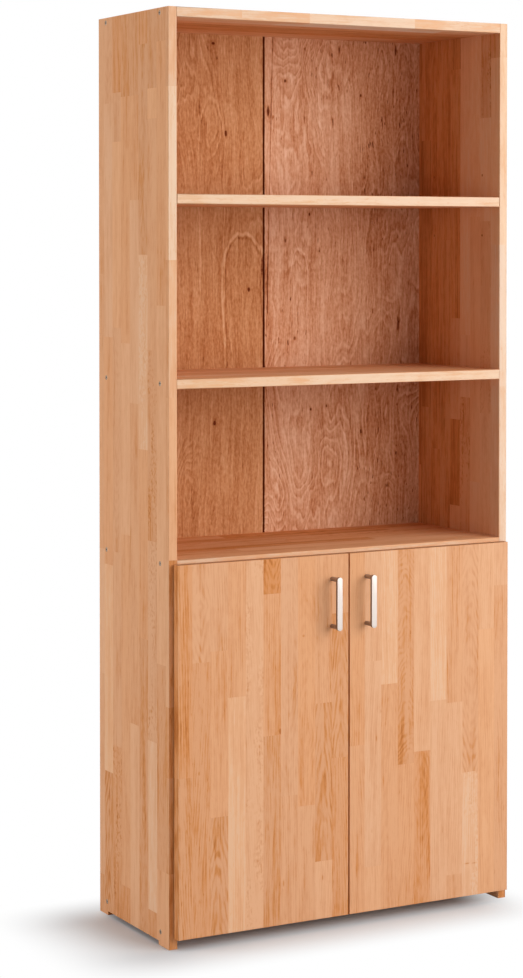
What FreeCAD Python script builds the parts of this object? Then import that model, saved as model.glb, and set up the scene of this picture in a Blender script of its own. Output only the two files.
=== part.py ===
import FreeCAD, Part
import math
import os

# Bookcase with a two-door cabinet below. Millimetres, +Z up, +Y to the back, doors at -Y.
# Every piece is laid out from the carcass: x = 0 in the middle, y = 0 at the front edges of the
# sides, z = 0 on the floor. export() then moves it so that the origin is the bottom centre.

# ---------------------------------------------------------------- driving dimensions

# carcass
overall_width = 800.0
overall_height = 1856.0
side_depth = 322.0
side_thickness = 19.0
board_thickness = 20.0
edge_round = 1.5             # eased edges that a hand meets

# feet cut out of the side panels' bottom edges
front_foot_length = 46.0
rear_foot_length = 40.0
foot_height = 8.0

# undersides of the fixed boards above the floor
bottom_panel_height = 17.0
deck_height = 750.0
fixed_shelf_height = 1106.0

# plywood back in two leaves, shiplapped at a seam left of the middle
back_thickness = 6.0
back_rebate_width = 10.0
seam_x = -14.0
seam_gap = 2.5
seam_lap = 8.0
leaf_clearance = 0.5

# loose shelves
upper_pin_height = 1474.0
cabinet_pin_height = 394.0
pin_pitch = 64.0             # from one pair of pin holes to the next
pin_front_inset = 66.0
pin_rear_inset = 68.0
pin_hole_radius = 2.5
pin_hole_depth = 10.0
pin_radius = 2.45
pin_in_side = 8.0
pin_reach = 8.0              # how far a pin stands out of the side
pin_sink = 4.0               # how far a pin's axis lies above the shelf's underside
shelf_end_clearance = 1.0
shelf_back_clearance = 2.0
cabinet_shelf_setback = 30.0
seat_gap = 0.3               # between a loose piece and its seat

# doors
door_thickness = 19.0
door_gap = 2.0               # between the carcass and the doors' backs
door_side_reveal = 10.0      # from a side's outer face to the door's edge
door_meeting_gap = 3.0
door_top_lap = 12.0          # how far the doors cover the deck's front edge
door_bottom_reveal = 5.0     # how much of the bottom panel's edge the doors leave free

# handles
handle_length = 108.0
handle_width = 12.0
handle_thickness = 6.0
handle_projection = 32.0
handle_drop = 97.0           # from the door's top edge down to the handle's middle
handle_inset = 39.0          # from the door's meeting edge to the handle's axis
handle_edge_round = 1.5
post_radius = 4.5
post_spigot_radius = 3.0
post_spigot_length = 3.0
handle_screw_radius = 2.0
handle_screw_in_post = 10.0
handle_screw_head_radius = 4.0
handle_screw_head_height = 2.6
handle_hole_radius = 2.3

# door bumpers
bumper_radius = 4.0
bumper_inset = 22.0          # from the door's meeting edge

# dowels of the fixed boards
dowel_radius = 3.95
dowel_length = 30.0
dowel_in_side = 11.0
dowel_offset = 60.0          # from the screw beside it
fixing_clearance = 0.05      # between a fixing and its hole, on the radius
hole_end_clearance = 1.0     # between a fixing's end and the bottom of its hole

# connecting screws of the fixed boards, with hexagon sockets
screw_front_inset = 38.0
screw_rear_inset = 34.0
screw_head_sink = 0.2
screw_head_radius = 4.9
screw_head_height = 3.0
screw_radius = 3.45
screw_length = 50.0
screw_socket_width = 4.0

# screws of the back panels
back_screw_head_radius = 3.5
back_screw_head_height = 2.2
back_screw_radius = 1.75
back_screw_length = 25.0
back_screw_seam_inset = 24.0
back_screw_side_pitch = 280.0
back_screw_side_start = 120.0

# cup hinges: two to a door
hinge_end_inset = 100.0      # from the door's end to the hinge's middle
cup_radius = 17.5
cup_depth = 12.0
cup_wall = 0.8
cup_edge_distance = 3.0      # of door left between its edge and the cup
flange_thickness = 1.2
flange_half_height = 28.0
flange_edge_inset = 9.5      # from the cup's middle towards the door's edge
cup_screw_offset = 9.5       # from the cup's middle away from the door's edge
cup_screw_half_pitch = 22.5
cup_screw_head_radius = 3.4
cup_screw_head_height = 1.2
cup_screw_radius = 1.75
cup_screw_length = 14.0
cup_pin_radius = 1.0
cup_pin_half_length = 9.6
cup_pin_edge_inset = 7.6     # from the door's edge
cup_pin_depth = 2.6          # below the door's back
ear_reach = 3.0              # of ear beyond the cup pin's axis
arm_pin_radius = 1.25
arm_pin_inset = 13.0         # from the side's inner face
arm_pin_setback = 2.5        # behind the carcass's front
link_bow = 6.0               # how far the link bows round the door's corner
link_half_width = 1.8
link_half_height = 4.0
link_arm_eye_radius = 2.4
link_cup_eye_radius = 2.0
link_side_clearance = 0.4
arm_wall = 1.3
arm_half_gap = 6.5           # half the space between the arm's cheeks
arm_nose_radius = 2.8
arm_nose_length = 12.0       # from the carcass's front to the bend
arm_bend_length = 8.0
arm_length = 68.0
arm_web_start = 8.0          # the web stops here, clear of the link's eye
plate_wing_thickness = 2.0
plate_wing_half_width = 6.0
plate_boss_height = 9.0
plate_boss_start = 24.0
plate_boss_end = 64.0
plate_clearance = 0.3        # between the boss and the arm's cheeks
plate_screw_setback = 37.0   # behind the carcass's front
plate_screw_half_pitch = 16.0
plate_screw_head_radius = 4.8
plate_screw_head_height = 1.8
plate_screw_radius = 3.0
plate_screw_length = 14.0
plate_wing_margin = 9.0      # beyond each screw
arm_screw_setback = 52.0
adjusting_screw_setback = 30.0
arm_screw_head_radius = 3.6
arm_screw_head_height = 1.0
arm_screw_radius = 2.4
arm_screw_length = 8.0

# ---------------------------------------------------------------- derived places

half_width = overall_width / 2
inner_half = half_width - side_thickness
board_depth = side_depth - back_thickness
top_panel_height = overall_height - board_thickness
fixed_boards = {
    "bottom_panel": bottom_panel_height,
    "cabinet_deck": deck_height,
    "fixed_shelf": fixed_shelf_height,
    "top_panel": top_panel_height,
}
screw_rows = (screw_front_inset, side_depth - screw_rear_inset)
dowel_rows = (screw_rows[0] + dowel_offset, screw_rows[1] - dowel_offset)
pin_rows = (pin_front_inset, side_depth - pin_rear_inset)

door_back = -door_gap
door_front = door_back - door_thickness
door_outer = half_width - door_side_reveal
door_inner = door_meeting_gap / 2
door_bottom = bottom_panel_height + door_bottom_reveal
door_top = deck_height + door_top_lap

handle_x = door_inner + handle_inset
handle_z = door_top - handle_drop
handle_front = door_front - handle_projection
post_pitch = handle_length - handle_width
post_heights = (handle_z + post_pitch / 2, handle_z - post_pitch / 2)

export_shift = FreeCAD.Vector(0, -(side_depth + handle_front) / 2, 0)

# ---------------------------------------------------------------- shape helpers

X_AXIS = FreeCAD.Vector(1, 0, 0)
Y_AXIS = FreeCAD.Vector(0, 1, 0)
Z_AXIS = FreeCAD.Vector(0, 0, 1)


def vec(x, y, z):
    return FreeCAD.Vector(x, y, z)


def box(x_range, y_range, z_range):
    size = [high - low for low, high in (x_range, y_range, z_range)]
    return Part.makeBox(*size, vec(x_range[0], y_range[0], z_range[0]))


def rod(radius, start, end):
    return Part.makeCylinder(radius, (end - start).Length, start, end - start)


def cone(start_radius, end_radius, start, end):
    return Part.makeCone(start_radius, end_radius, (end - start).Length, start, end - start)


def hex_prism(width, start, direction, depth):
    """A hexagonal prism with the given width across its flats."""
    across = direction.cross(Z_AXIS if abs(direction.z) < 0.9 else X_AXIS)
    across.normalize()
    up = direction.cross(across)
    corner = width / math.sqrt(3)
    points = []
    for step in range(7):
        angle = math.radians(60 * step)
        points.append(start + across * (corner * math.cos(angle)) + up * (corner * math.sin(angle)))
    return Part.Face(Part.makePolygon(points)).extrude(direction * depth)


def cross_recess(width, start, direction, depth):
    """Two crossed slots, as in the head of a cross-head screw."""
    across = direction.cross(Z_AXIS if abs(direction.z) < 0.9 else X_AXIS)
    across.normalize()
    up = direction.cross(across)
    slot = width / 5
    bars = []
    for long_side, short_side in ((across, up), (up, across)):
        corner = start - long_side * (width / 2) - short_side * (slot / 2)
        points = [corner, corner + long_side * width, corner + long_side * width + short_side * slot,
                  corner + short_side * slot, corner]
        bars.append(Part.Face(Part.makePolygon(points)).extrude(direction * depth))
    return bars[0].fuse(bars[1])


def edges_where(shape, test):
    return [edge for edge in shape.Edges if test(edge.BoundBox)]


def mirrored(shape):
    return shape.mirror(vec(0, 0, 0), X_AXIS)


def both_sides(left_shapes):
    return left_shapes + [mirrored(shape) for shape in left_shapes]


def export(name, *solids):
    shape = solids[0] if len(solids) == 1 else Part.makeCompound(list(solids))
    shape = shape.translated(export_shift)
    shape.exportStep("parts/" + name + ".step")
    print(name, len(shape.Solids), "solid(s)", round(shape.Volume), "mm3", shape.isValid())


# ---------------------------------------------------------------- fixings

class Screw:
    """A countersunk screw that is driven from a point on a face, and the hole that takes it."""

    def __init__(self, head_radius, head_height, radius, length, socket_width=None):
        self.head_radius = head_radius
        self.head_height = head_height
        self.radius = radius
        self.length = length
        self.socket_width = socket_width

    def solid(self, head, direction):
        neck = head + direction * self.head_height
        tip = head + direction * (self.length - self.radius)
        end = head + direction * self.length
        body = cone(self.head_radius, self.radius, head, neck)
        body = body.fuse([rod(self.radius, neck, tip), cone(self.radius, self.radius / 3, tip, end)])
        return body.removeSplitter().cut(self.recess(head, direction))

    def recess(self, head, direction):
        depth = self.head_height * 0.8
        if self.socket_width:
            return hex_prism(self.socket_width, head, direction, depth)
        return cross_recess(self.head_radius, head, direction, depth)

    def hole(self, head, direction, sink=0.0):
        """A countersunk hole with fixing_clearance all round. It opens sink above the head."""
        head_radius = self.head_radius + fixing_clearance
        radius = self.radius + fixing_clearance
        neck = head + direction * self.head_height
        hole = cone(head_radius, radius, head, neck)
        hole = hole.fuse(rod(radius, head, head + direction * (self.length + hole_end_clearance)))
        return hole.fuse(rod(head_radius, head - direction * sink, head)) if sink else hole


connecting_screw = Screw(screw_head_radius, screw_head_height, screw_radius, screw_length,
                         screw_socket_width)
back_screw = Screw(back_screw_head_radius, back_screw_head_height, back_screw_radius, back_screw_length)
cup_screw = Screw(cup_screw_head_radius, cup_screw_head_height, cup_screw_radius, cup_screw_length)
plate_screw = Screw(plate_screw_head_radius, plate_screw_head_height, plate_screw_radius,
                    plate_screw_length)
arm_screw = Screw(arm_screw_head_radius, arm_screw_head_height, arm_screw_radius, arm_screw_length)


def connecting_head(y, z):
    """Where the head of a connecting screw lies in the left side, just below its outer face."""
    return vec(-half_width + screw_head_sink, y, z)


def dowel(y, z):
    joint = vec(-inner_half, y, z)
    return rod(dowel_radius, joint - X_AXIS * dowel_in_side, joint + X_AXIS * (dowel_length - dowel_in_side))


def dowel_hole(y, z):
    joint = vec(-inner_half, y, z)
    in_board = dowel_length - dowel_in_side
    return rod(dowel_radius + fixing_clearance, joint - X_AXIS * (dowel_in_side + hole_end_clearance),
               joint + X_AXIS * (in_board + hole_end_clearance))


def board_middle(height):
    return height + board_thickness / 2


def left_joint_tools():
    """Holes for every connecting screw and dowel of the left side."""
    tools = []
    for height in fixed_boards.values():
        tools += [connecting_screw.hole(connecting_head(y, board_middle(height)), X_AXIS, screw_head_sink)
                  for y in screw_rows]
        tools += [dowel_hole(y, board_middle(height)) for y in dowel_rows]
    return tools


def back_screw_places():
    """(x, z) of the screws that hold the back: along the sides and along each fixed board."""
    edge_x = inner_half + back_rebate_width / 2
    span = overall_height - 2 * back_screw_side_start
    gaps = round(span / back_screw_side_pitch)
    places = []
    for step in range(gaps + 1):
        z = back_screw_side_start + span * step / gaps
        places += [(-edge_x, z), (edge_x, z)]
    for height in fixed_boards.values():
        for x in (seam_x - back_screw_seam_inset, seam_x + back_screw_seam_inset,
                  (seam_x - inner_half) / 2, (seam_x + inner_half) / 2):
            places.append((x, board_middle(height)))
    return places


def back_screw_hole(x, z):
    return back_screw.hole(vec(x, side_depth, z), Y_AXIS * -1)


# ---------------------------------------------------------------- carcass

def pin_holes(pin_height):
    """Pin holes of the left side: the pair in use and the spare pairs above and below it."""
    start_x = -inner_half - pin_hole_depth
    holes = []
    for row in pin_rows:
        for step in (-1, 0, 1):
            z = pin_height + step * pin_pitch
            holes.append(rod(pin_hole_radius, vec(start_x, row, z), vec(-inner_half + 1, row, z)))
    return holes


def left_side_blank():
    """The left side with its feet, its rebate for the back and its eased front edges."""
    panel = box((-half_width, -inner_half), (0, side_depth), (0, overall_height))
    front_edges = edges_where(panel, lambda b: b.ZLength > 1 and b.YMax < 0.1)
    panel = panel.makeFillet(edge_round, front_edges)
    recess = box((-half_width - 1, -inner_half + 1),
                 (front_foot_length, side_depth - rear_foot_length), (-1, foot_height))
    rebate = box((-inner_half - back_rebate_width, -inner_half + 1),
                 (board_depth, side_depth + 1), (bottom_panel_height, overall_height + 1))
    return panel.cut([recess, rebate])


def left_side_panel(extra_holes):
    tools = left_joint_tools() + pin_holes(upper_pin_height) + pin_holes(cabinet_pin_height)
    tools += [back_screw_hole(x, z) for x, z in back_screw_places() if x < -inner_half]
    return left_side_blank().cut(tools + extra_holes)


def eased_board(x_range, y_range, z_range):
    """A board whose two long front edges are eased."""
    board = box(x_range, y_range, z_range)
    front_edges = edges_where(board, lambda b: b.XLength > 1 and b.YMax < y_range[0] + 0.1)
    return board.makeFillet(edge_round, front_edges)


def fixed_board(height):
    board = eased_board((-inner_half, inner_half), (0, board_depth), (height, height + board_thickness))
    middle = board_middle(height)
    tools = both_sides([connecting_screw.hole(connecting_head(y, middle), X_AXIS) for y in screw_rows]
                       + [dowel_hole(y, middle) for y in dowel_rows])
    tools += [back_screw_hole(x, z) for x, z in back_screw_places()
              if abs(x) < inner_half and abs(z - middle) < 1]
    return board.cut(tools)


def loose_shelf(pin_height, front_y):
    """A shelf whose underside drops over its four pins, so that it can't slide forwards."""
    end = inner_half - shelf_end_clearance
    underside = pin_height - pin_sink
    shelf = eased_board((-end, end), (front_y, board_depth - shelf_back_clearance),
                        (underside, underside + board_thickness))
    tip = inner_half - pin_reach - shelf_end_clearance
    half_slot = pin_radius + shelf_end_clearance / 2
    pockets = [box((-end - 1, -tip), (row - half_slot, row + half_slot),
                   (underside - 1, pin_height + pin_radius + seat_gap)) for row in pin_rows]
    return shelf.cut(both_sides(pockets))


def shelf_pins(pin_height):
    left = []
    for row in pin_rows:
        start = vec(-inner_half - pin_in_side, row, pin_height)
        pin = rod(pin_radius, start, vec(-inner_half + pin_reach, row, pin_height))
        left.append(pin.makeChamfer(pin_radius / 6, edges_where(pin, lambda b: b.XLength < 0.1)))
    return both_sides(left)


def back_leaves():
    """The two plywood leaves. The left one's thin tongue lies behind the right one's lip."""
    edge = inner_half + back_rebate_width - leaf_clearance
    middle_y = board_depth + back_thickness / 2
    height = (bottom_panel_height, overall_height)
    left_edge = seam_x - seam_gap / 2
    right_edge = seam_x + seam_gap / 2
    left = box((-edge, left_edge), (board_depth, side_depth), height)
    tongue = box((left_edge, right_edge + seam_lap), (middle_y, side_depth), height)
    right = box((right_edge, edge), (board_depth, side_depth), height)
    rebate = box((right_edge - 1, right_edge + seam_lap + leaf_clearance), (middle_y, side_depth + 1),
                 (height[0] - 1, height[1] + 1))
    holes = [back_screw_hole(x, z) for x, z in back_screw_places()]
    return left.fuse(tongue).removeSplitter().cut(holes), right.cut(rebate).cut(holes)


# ---------------------------------------------------------------- doors and handles

def left_door_panel(extra_holes):
    panel = box((-door_outer, -door_inner), (door_front, door_back), (door_bottom, door_top))
    front_edges = edges_where(panel, lambda b: b.YMax < door_front + 0.1)
    panel = panel.makeFillet(edge_round, front_edges)
    holes = [rod(handle_hole_radius, vec(-handle_x, door_front - 1, z), vec(-handle_x, door_back + 1, z))
             for z in post_heights]
    return panel.cut(holes + extra_holes)


def handle_bar():
    """Flat bar with round ends, with a blind hole in its back for each post's spigot."""
    half = handle_width / 2
    back = handle_front + handle_thickness
    bar = box((-handle_x - half, -handle_x + half), (handle_front, back),
              (post_heights[1], post_heights[0]))
    ends = [rod(half, vec(-handle_x, handle_front, z), vec(-handle_x, back, z)) for z in post_heights]
    bar = bar.fuse(ends).removeSplitter()
    bar = bar.makeFillet(handle_edge_round, edges_where(bar, lambda b: b.YMax < handle_front + 0.1))
    sockets = [rod(post_spigot_radius, vec(-handle_x, back - post_spigot_length, z), vec(-handle_x, back + 1, z))
               for z in post_heights]
    return bar.cut(sockets)


def handle_post(z):
    back = handle_front + handle_thickness
    post = rod(post_radius, vec(-handle_x, back, z), vec(-handle_x, door_front, z))
    spigot = rod(post_spigot_radius - fixing_clearance,
                 vec(-handle_x, back - post_spigot_length + fixing_clearance, z), vec(-handle_x, back + 1, z))
    thread = rod(handle_screw_radius + fixing_clearance,
                 vec(-handle_x, door_front - handle_screw_in_post - hole_end_clearance, z),
                 vec(-handle_x, door_front + 1, z))
    return post.fuse(spigot).removeSplitter().cut(thread)


def handle_screw(z):
    shank = rod(handle_screw_radius, vec(-handle_x, door_front - handle_screw_in_post, z),
                vec(-handle_x, door_back, z))
    head_end = vec(-handle_x, door_back + handle_screw_head_height, z)
    head = rod(handle_screw_head_radius, vec(-handle_x, door_back, z), head_end)
    head = head.makeFillet(handle_screw_head_height / 3, edges_where(
        head, lambda b: b.YMin > door_back + handle_screw_head_height - 0.1))
    recess = cross_recess(handle_screw_head_radius, head_end, Y_AXIS * -1, handle_screw_head_height / 2)
    return shank.fuse(head).cut(recess)


def door_bumpers():
    """Clear buffers on the door's back that meet the deck and the bottom panel."""
    x = -door_inner - bumper_inset
    heights = ((door_bottom + bottom_panel_height + board_thickness) / 2, (deck_height + door_top) / 2)
    return [rod(bumper_radius, vec(x, door_back, z), vec(x, -seat_gap, z)) for z in heights]


# ---------------------------------------------------------------- cup hinges

cup_x = -door_outer + cup_edge_distance + cup_radius
cup_floor = door_back - cup_depth
cup_pin_place = vec(-door_outer + cup_pin_edge_inset, door_back - cup_pin_depth, 0)
arm_pin_place = vec(-inner_half + arm_pin_inset, arm_pin_setback, 0)
hinge_heights = {"upper": door_top - hinge_end_inset, "lower": door_bottom + hinge_end_inset}


def upright_rod(radius, place, z_range):
    return rod(radius, vec(place.x, place.y, z_range[0]), vec(place.x, place.y, z_range[1]))


def upright_prism(points, z_range):
    corners = [vec(x, y, z_range[0]) for x, y in points]
    return Part.Face(Part.makePolygon(corners + corners[:1])).extrude(Z_AXIS * (z_range[1] - z_range[0]))


def cup_screw_heads(z):
    return [vec(cup_x + cup_screw_offset, door_back + flange_thickness, z + side * cup_screw_half_pitch)
            for side in (-1, 1)]


def plate_screw_heads(z):
    return [vec(-inner_half + plate_wing_thickness, plate_screw_setback, z + side * plate_screw_half_pitch)
            for side in (-1, 1)]


def arm_screw_heads(z):
    web_face = -inner_half + plate_boss_height + arm_wall
    return [vec(web_face, setback, z) for setback in (arm_screw_setback, adjusting_screw_setback)]


def door_hinge_holes():
    """What the left door is bored with for its two cups and their screws."""
    holes = []
    for z in hinge_heights.values():
        holes.append(rod(cup_radius + fixing_clearance, vec(cup_x, cup_floor - hole_end_clearance / 2, z),
                         vec(cup_x, door_back + 1, z)))
        holes += [cup_screw.hole(head, Y_AXIS * -1) for head in cup_screw_heads(z)]
    return holes


def side_hinge_holes():
    return [plate_screw.hole(head, X_AXIS * -1)
            for z in hinge_heights.values() for head in plate_screw_heads(z)]


def hinge_cup(z):
    """Cup with a screw flange, and two ears that hold the pin of the link."""
    outer = rod(cup_radius, vec(cup_x, cup_floor, z), vec(cup_x, door_back, z))
    inner_radius = cup_radius - cup_wall
    hollow = rod(inner_radius, vec(cup_x, cup_floor + cup_wall, z), vec(cup_x, door_back + 5, z))
    flange = box((cup_x - flange_edge_inset, cup_x + cup_radius),
                 (door_back, door_back + flange_thickness), (z - flange_half_height, z + flange_half_height))
    flange = flange.makeFillet(cup_screw_head_radius, edges_where(flange, lambda b: b.YLength > 1))
    body = outer.fuse(flange).removeSplitter().cut(hollow)
    ear_start = link_half_height + link_side_clearance
    ear_block = box((cup_x - cup_radius, cup_pin_place.x + ear_reach), (cup_floor + cup_wall / 2, door_back),
                    (z - cup_radius, z + cup_radius))
    slot = box((cup_x - cup_radius, cup_x), (cup_floor, door_back + 1), (z - ear_start, z + ear_start))
    ears = ear_block.cut(slot).common(outer)
    pin_hole = upright_rod(cup_pin_radius + fixing_clearance, cup_pin_place,
                           (z - cup_pin_half_length - fixing_clearance, z + cup_pin_half_length + fixing_clearance))
    holes = [pin_hole] + [cup_screw.hole(head, Y_AXIS * -1) for head in cup_screw_heads(z)]
    return body.fuse(ears).removeSplitter().cut(holes)


def hinge_cup_pin(z):
    return upright_rod(cup_pin_radius, cup_pin_place, (z - cup_pin_half_length, z + cup_pin_half_length))


def hinge_arm_pin(z):
    half = arm_half_gap + arm_wall
    return upright_rod(arm_pin_radius, arm_pin_place, (z - half, z + half))


def hinge_link(z):
    """Bowed link from the arm's pin to the cup's pin. Its bow leaves room for the door's corner."""
    chord = cup_pin_place - arm_pin_place
    half_chord = chord.Length / 2
    bow_direction = vec(-chord.y, chord.x, 0) / chord.Length
    radius = (half_chord ** 2 + link_bow ** 2) / (2 * link_bow)
    centre = arm_pin_place + chord / 2 + bow_direction * (link_bow - radius)
    spokes = [(arm_pin_place - centre) / radius, bow_direction, (cup_pin_place - centre) / radius]
    outer = [centre + spoke * (radius + link_half_width) for spoke in spokes]
    inner = [centre + spoke * (radius - link_half_width) for spoke in spokes]
    outline = Part.Wire([Part.Arc(*outer).toShape(), Part.makeLine(outer[2], inner[2]),
                         Part.Arc(*reversed(inner)).toShape(), Part.makeLine(inner[0], outer[0])])
    low, high = z - link_half_height, z + link_half_height
    strip = Part.Face(outline).extrude(Z_AXIS * (high - low)).translated(Z_AXIS * low)
    eyes = [upright_rod(link_arm_eye_radius, arm_pin_place, (low, high)),
            upright_rod(link_cup_eye_radius, cup_pin_place, (low, high))]
    bores = [upright_rod(arm_pin_radius + fixing_clearance, arm_pin_place, (low - 1, high + 1)),
             upright_rod(cup_pin_radius + fixing_clearance, cup_pin_place, (low - 1, high + 1))]
    return strip.fuse(eyes).removeSplitter().cut(bores)


def hinge_arm(z):
    """Cranked channel over the plate's boss. Its cheeks run on to a nose that holds the pin."""
    face = -inner_half
    web = face + plate_boss_height + arm_wall
    nose_left = arm_pin_place.x - arm_nose_radius
    nose_right = arm_pin_place.x + arm_nose_radius
    foot = face + plate_wing_thickness + plate_clearance
    bend_end = arm_nose_length + arm_bend_length
    profile = [(foot, arm_length), (web, arm_length), (web, bend_end), (nose_right, arm_nose_length),
               (nose_right, arm_pin_place.y), (nose_left, arm_pin_place.y), (nose_left, arm_web_start),
               (foot, bend_end)]
    hollow = [(face, arm_length + 1), (web - arm_wall, arm_length + 1), (web - arm_wall, bend_end),
              (nose_right - arm_wall, arm_nose_length), (nose_right - arm_wall, arm_web_start),
              (nose_right + 1, arm_web_start), (nose_right + 1, -arm_nose_radius),
              (face, -arm_nose_radius)]
    half = arm_half_gap + arm_wall
    body = upright_prism(profile, (z - half, z + half))
    body = body.fuse(upright_rod(arm_nose_radius, arm_pin_place, (z - half, z + half))).removeSplitter()
    body = body.cut(upright_prism(hollow, (z - arm_half_gap, z + arm_half_gap)))
    holes = [upright_rod(arm_pin_radius + fixing_clearance, arm_pin_place, (z - half - 1, z + half + 1))]
    return body.cut(holes + [arm_screw.hole(head, X_AXIS * -1) for head in arm_screw_heads(z)])


def hinge_plate(z):
    """Mounting plate: a wing with two screws across the side, and a boss that carries the arm."""
    face = -inner_half
    wing_end = plate_screw_half_pitch + plate_wing_margin - plate_wing_half_width
    low_y, high_y = plate_screw_setback - plate_wing_half_width, plate_screw_setback + plate_wing_half_width
    wing = box((face, face + plate_wing_thickness), (low_y, high_y), (z - wing_end, z + wing_end))
    ends = [rod(plate_wing_half_width, vec(face, plate_screw_setback, z + side * wing_end),
                vec(face + plate_wing_thickness, plate_screw_setback, z + side * wing_end))
            for side in (-1, 1)]
    boss_half = arm_half_gap - plate_clearance
    boss = box((face, face + plate_boss_height), (plate_boss_start, plate_boss_end),
               (z - boss_half, z + boss_half))
    body = wing.fuse(ends + [boss]).removeSplitter()
    holes = [plate_screw.hole(head, X_AXIS * -1) for head in plate_screw_heads(z)]
    return body.cut(holes + [arm_screw.hole(head, X_AXIS * -1) for head in arm_screw_heads(z)])


# ---------------------------------------------------------------- the pieces

def export_pair(name, left_shapes):
    """Writes the left piece and its mirror image on the right."""
    export("left_" + name, *left_shapes)
    export("right_" + name, *[mirrored(shape) for shape in left_shapes])


def export_carcass():
    export_pair("side_panel", [left_side_panel(side_hinge_holes())])
    for name, height in fixed_boards.items():
        export(name, fixed_board(height))
    left_leaf, right_leaf = back_leaves()
    export("back_panel_left", left_leaf)
    export("back_panel_right", right_leaf)
    middles = [board_middle(height) for height in fixed_boards.values()]
    export("connecting_screws", *both_sides([connecting_screw.solid(connecting_head(y, z), X_AXIS)
                                             for z in middles for y in screw_rows]))
    export("carcass_dowels", *both_sides([dowel(y, z) for z in middles for y in dowel_rows]))
    export("back_panel_screws", *[back_screw.solid(vec(x, side_depth, z), Y_AXIS * -1)
                                  for x, z in back_screw_places()])


def export_loose_shelves():
    export("upper_shelf", loose_shelf(upper_pin_height, 0.0))
    export("upper_shelf_pins", *shelf_pins(upper_pin_height))
    export("cabinet_shelf", loose_shelf(cabinet_pin_height, cabinet_shelf_setback))
    export("cabinet_shelf_pins", *shelf_pins(cabinet_pin_height))


def export_doors():
    export_pair("door_panel", [left_door_panel(door_hinge_holes())])
    export_pair("door_bumpers", door_bumpers())
    export_pair("handle_bar", [handle_bar()])
    export_pair("handle_upper_post", [handle_post(post_heights[0])])
    export_pair("handle_lower_post", [handle_post(post_heights[1])])
    export_pair("handle_screws", [handle_screw(z) for z in post_heights])


def export_hinges():
    makers = {"cup": hinge_cup, "cup_pin": hinge_cup_pin, "link": hinge_link, "arm_pin": hinge_arm_pin,
              "arm": hinge_arm, "mounting_plate": hinge_plate}
    for level, z in hinge_heights.items():
        for piece, make in makers.items():
            export_pair(level + "_hinge_" + piece, [make(z)])
    levels = list(hinge_heights.values())
    export_pair("hinge_cup_screws", [cup_screw.solid(head, Y_AXIS * -1)
                                     for z in levels for head in cup_screw_heads(z)])
    export("hinge_plate_screws", *both_sides([plate_screw.solid(head, X_AXIS * -1)
                                              for z in levels for head in plate_screw_heads(z)]))
    export("hinge_arm_screws", *both_sides([arm_screw.solid(head, X_AXIS * -1)
                                            for z in levels for head in arm_screw_heads(z)]))


os.makedirs("parts", exist_ok=True)
export_carcass()
export_loose_shelves()
export_doors()
export_hinges()
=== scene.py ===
import functools
import itertools
import logging
import math
import random
from collections.abc import Callable, Sequence
from dataclasses import dataclass, field
from enum import Enum

import bpy
from mathutils import Matrix, Vector


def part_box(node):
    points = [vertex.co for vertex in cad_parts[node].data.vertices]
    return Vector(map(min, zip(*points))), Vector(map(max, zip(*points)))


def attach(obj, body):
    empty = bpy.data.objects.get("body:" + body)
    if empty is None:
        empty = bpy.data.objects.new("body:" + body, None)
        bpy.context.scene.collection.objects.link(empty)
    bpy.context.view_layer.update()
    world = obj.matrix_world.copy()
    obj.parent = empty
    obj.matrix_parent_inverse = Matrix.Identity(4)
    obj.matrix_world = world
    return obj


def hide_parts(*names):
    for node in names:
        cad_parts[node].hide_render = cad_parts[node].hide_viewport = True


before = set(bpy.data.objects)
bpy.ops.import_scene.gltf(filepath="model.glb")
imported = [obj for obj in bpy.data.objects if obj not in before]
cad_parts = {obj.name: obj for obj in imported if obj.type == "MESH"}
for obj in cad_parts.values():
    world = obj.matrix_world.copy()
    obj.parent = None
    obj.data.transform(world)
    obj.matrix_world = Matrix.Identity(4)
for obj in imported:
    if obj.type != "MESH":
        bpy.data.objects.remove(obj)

log = logging.getLogger("bookcase")
MM = 0.001
# Two places nearer than this are the same.
SLACK = 1e-6
# How far a cutter stands out past the piece that it cuts.
PAST = 10 * MM
# Least share of an edge's direction, or of a face's normal, that lies along an axis.
STRAIGHT = 0.9
FACING = 0.8
# Depth and height of the connecting screws on a side, from its lowest corner.
SCREW_PLACES = tuple(itertools.product((38 * MM, 288 * MM), (27 * MM, 760 * MM, 1116 * MM, 1846 * MM)))

Piece = bpy.types.Object
Test = Callable[[Vector, Vector], bool]


class Axis(Enum):
    """Directions of the bookcase: width, depth and height."""

    WIDTH = 0
    DEPTH = 1
    HEIGHT = 2

    def vector(self) -> Vector:
        """Returns the unit vector of this direction."""
        return Vector([1.0 if i == self.value else 0.0 for i in range(3)])


class Part(Enum):
    """What is selected on a mesh."""

    POINTS = "VERT"
    EDGES = "EDGE"
    FACES = "FACE"


class Tone(Enum):
    """How dark a stave is, from the palest sapwood to the brownest heartwood."""

    EDGE = 0.05
    CREAM = 0.13
    PALE = 0.24
    LIGHT = 0.37
    MEDIUM = 0.50
    WARM = 0.63
    BROWN = 0.78
    DARK = 0.88


class Figure(Enum):
    """How a stave was sawn, which sets the figure on its face."""

    QUARTER = 0.0
    RIFT = 0.4
    CATHEDRAL = 1.0
    WAVED = 1.3
    FLECKED = 2.0


@dataclass(frozen=True)
class Stave:
    """One stave of a strip: the place at which it ends, its tone, its figure and its edge's tone."""

    end: float
    tone: Tone
    figure: Figure = Figure.QUARTER
    edge: Tone | None = None


# ---------------------------------------------------------------- bench work on meshes

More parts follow.
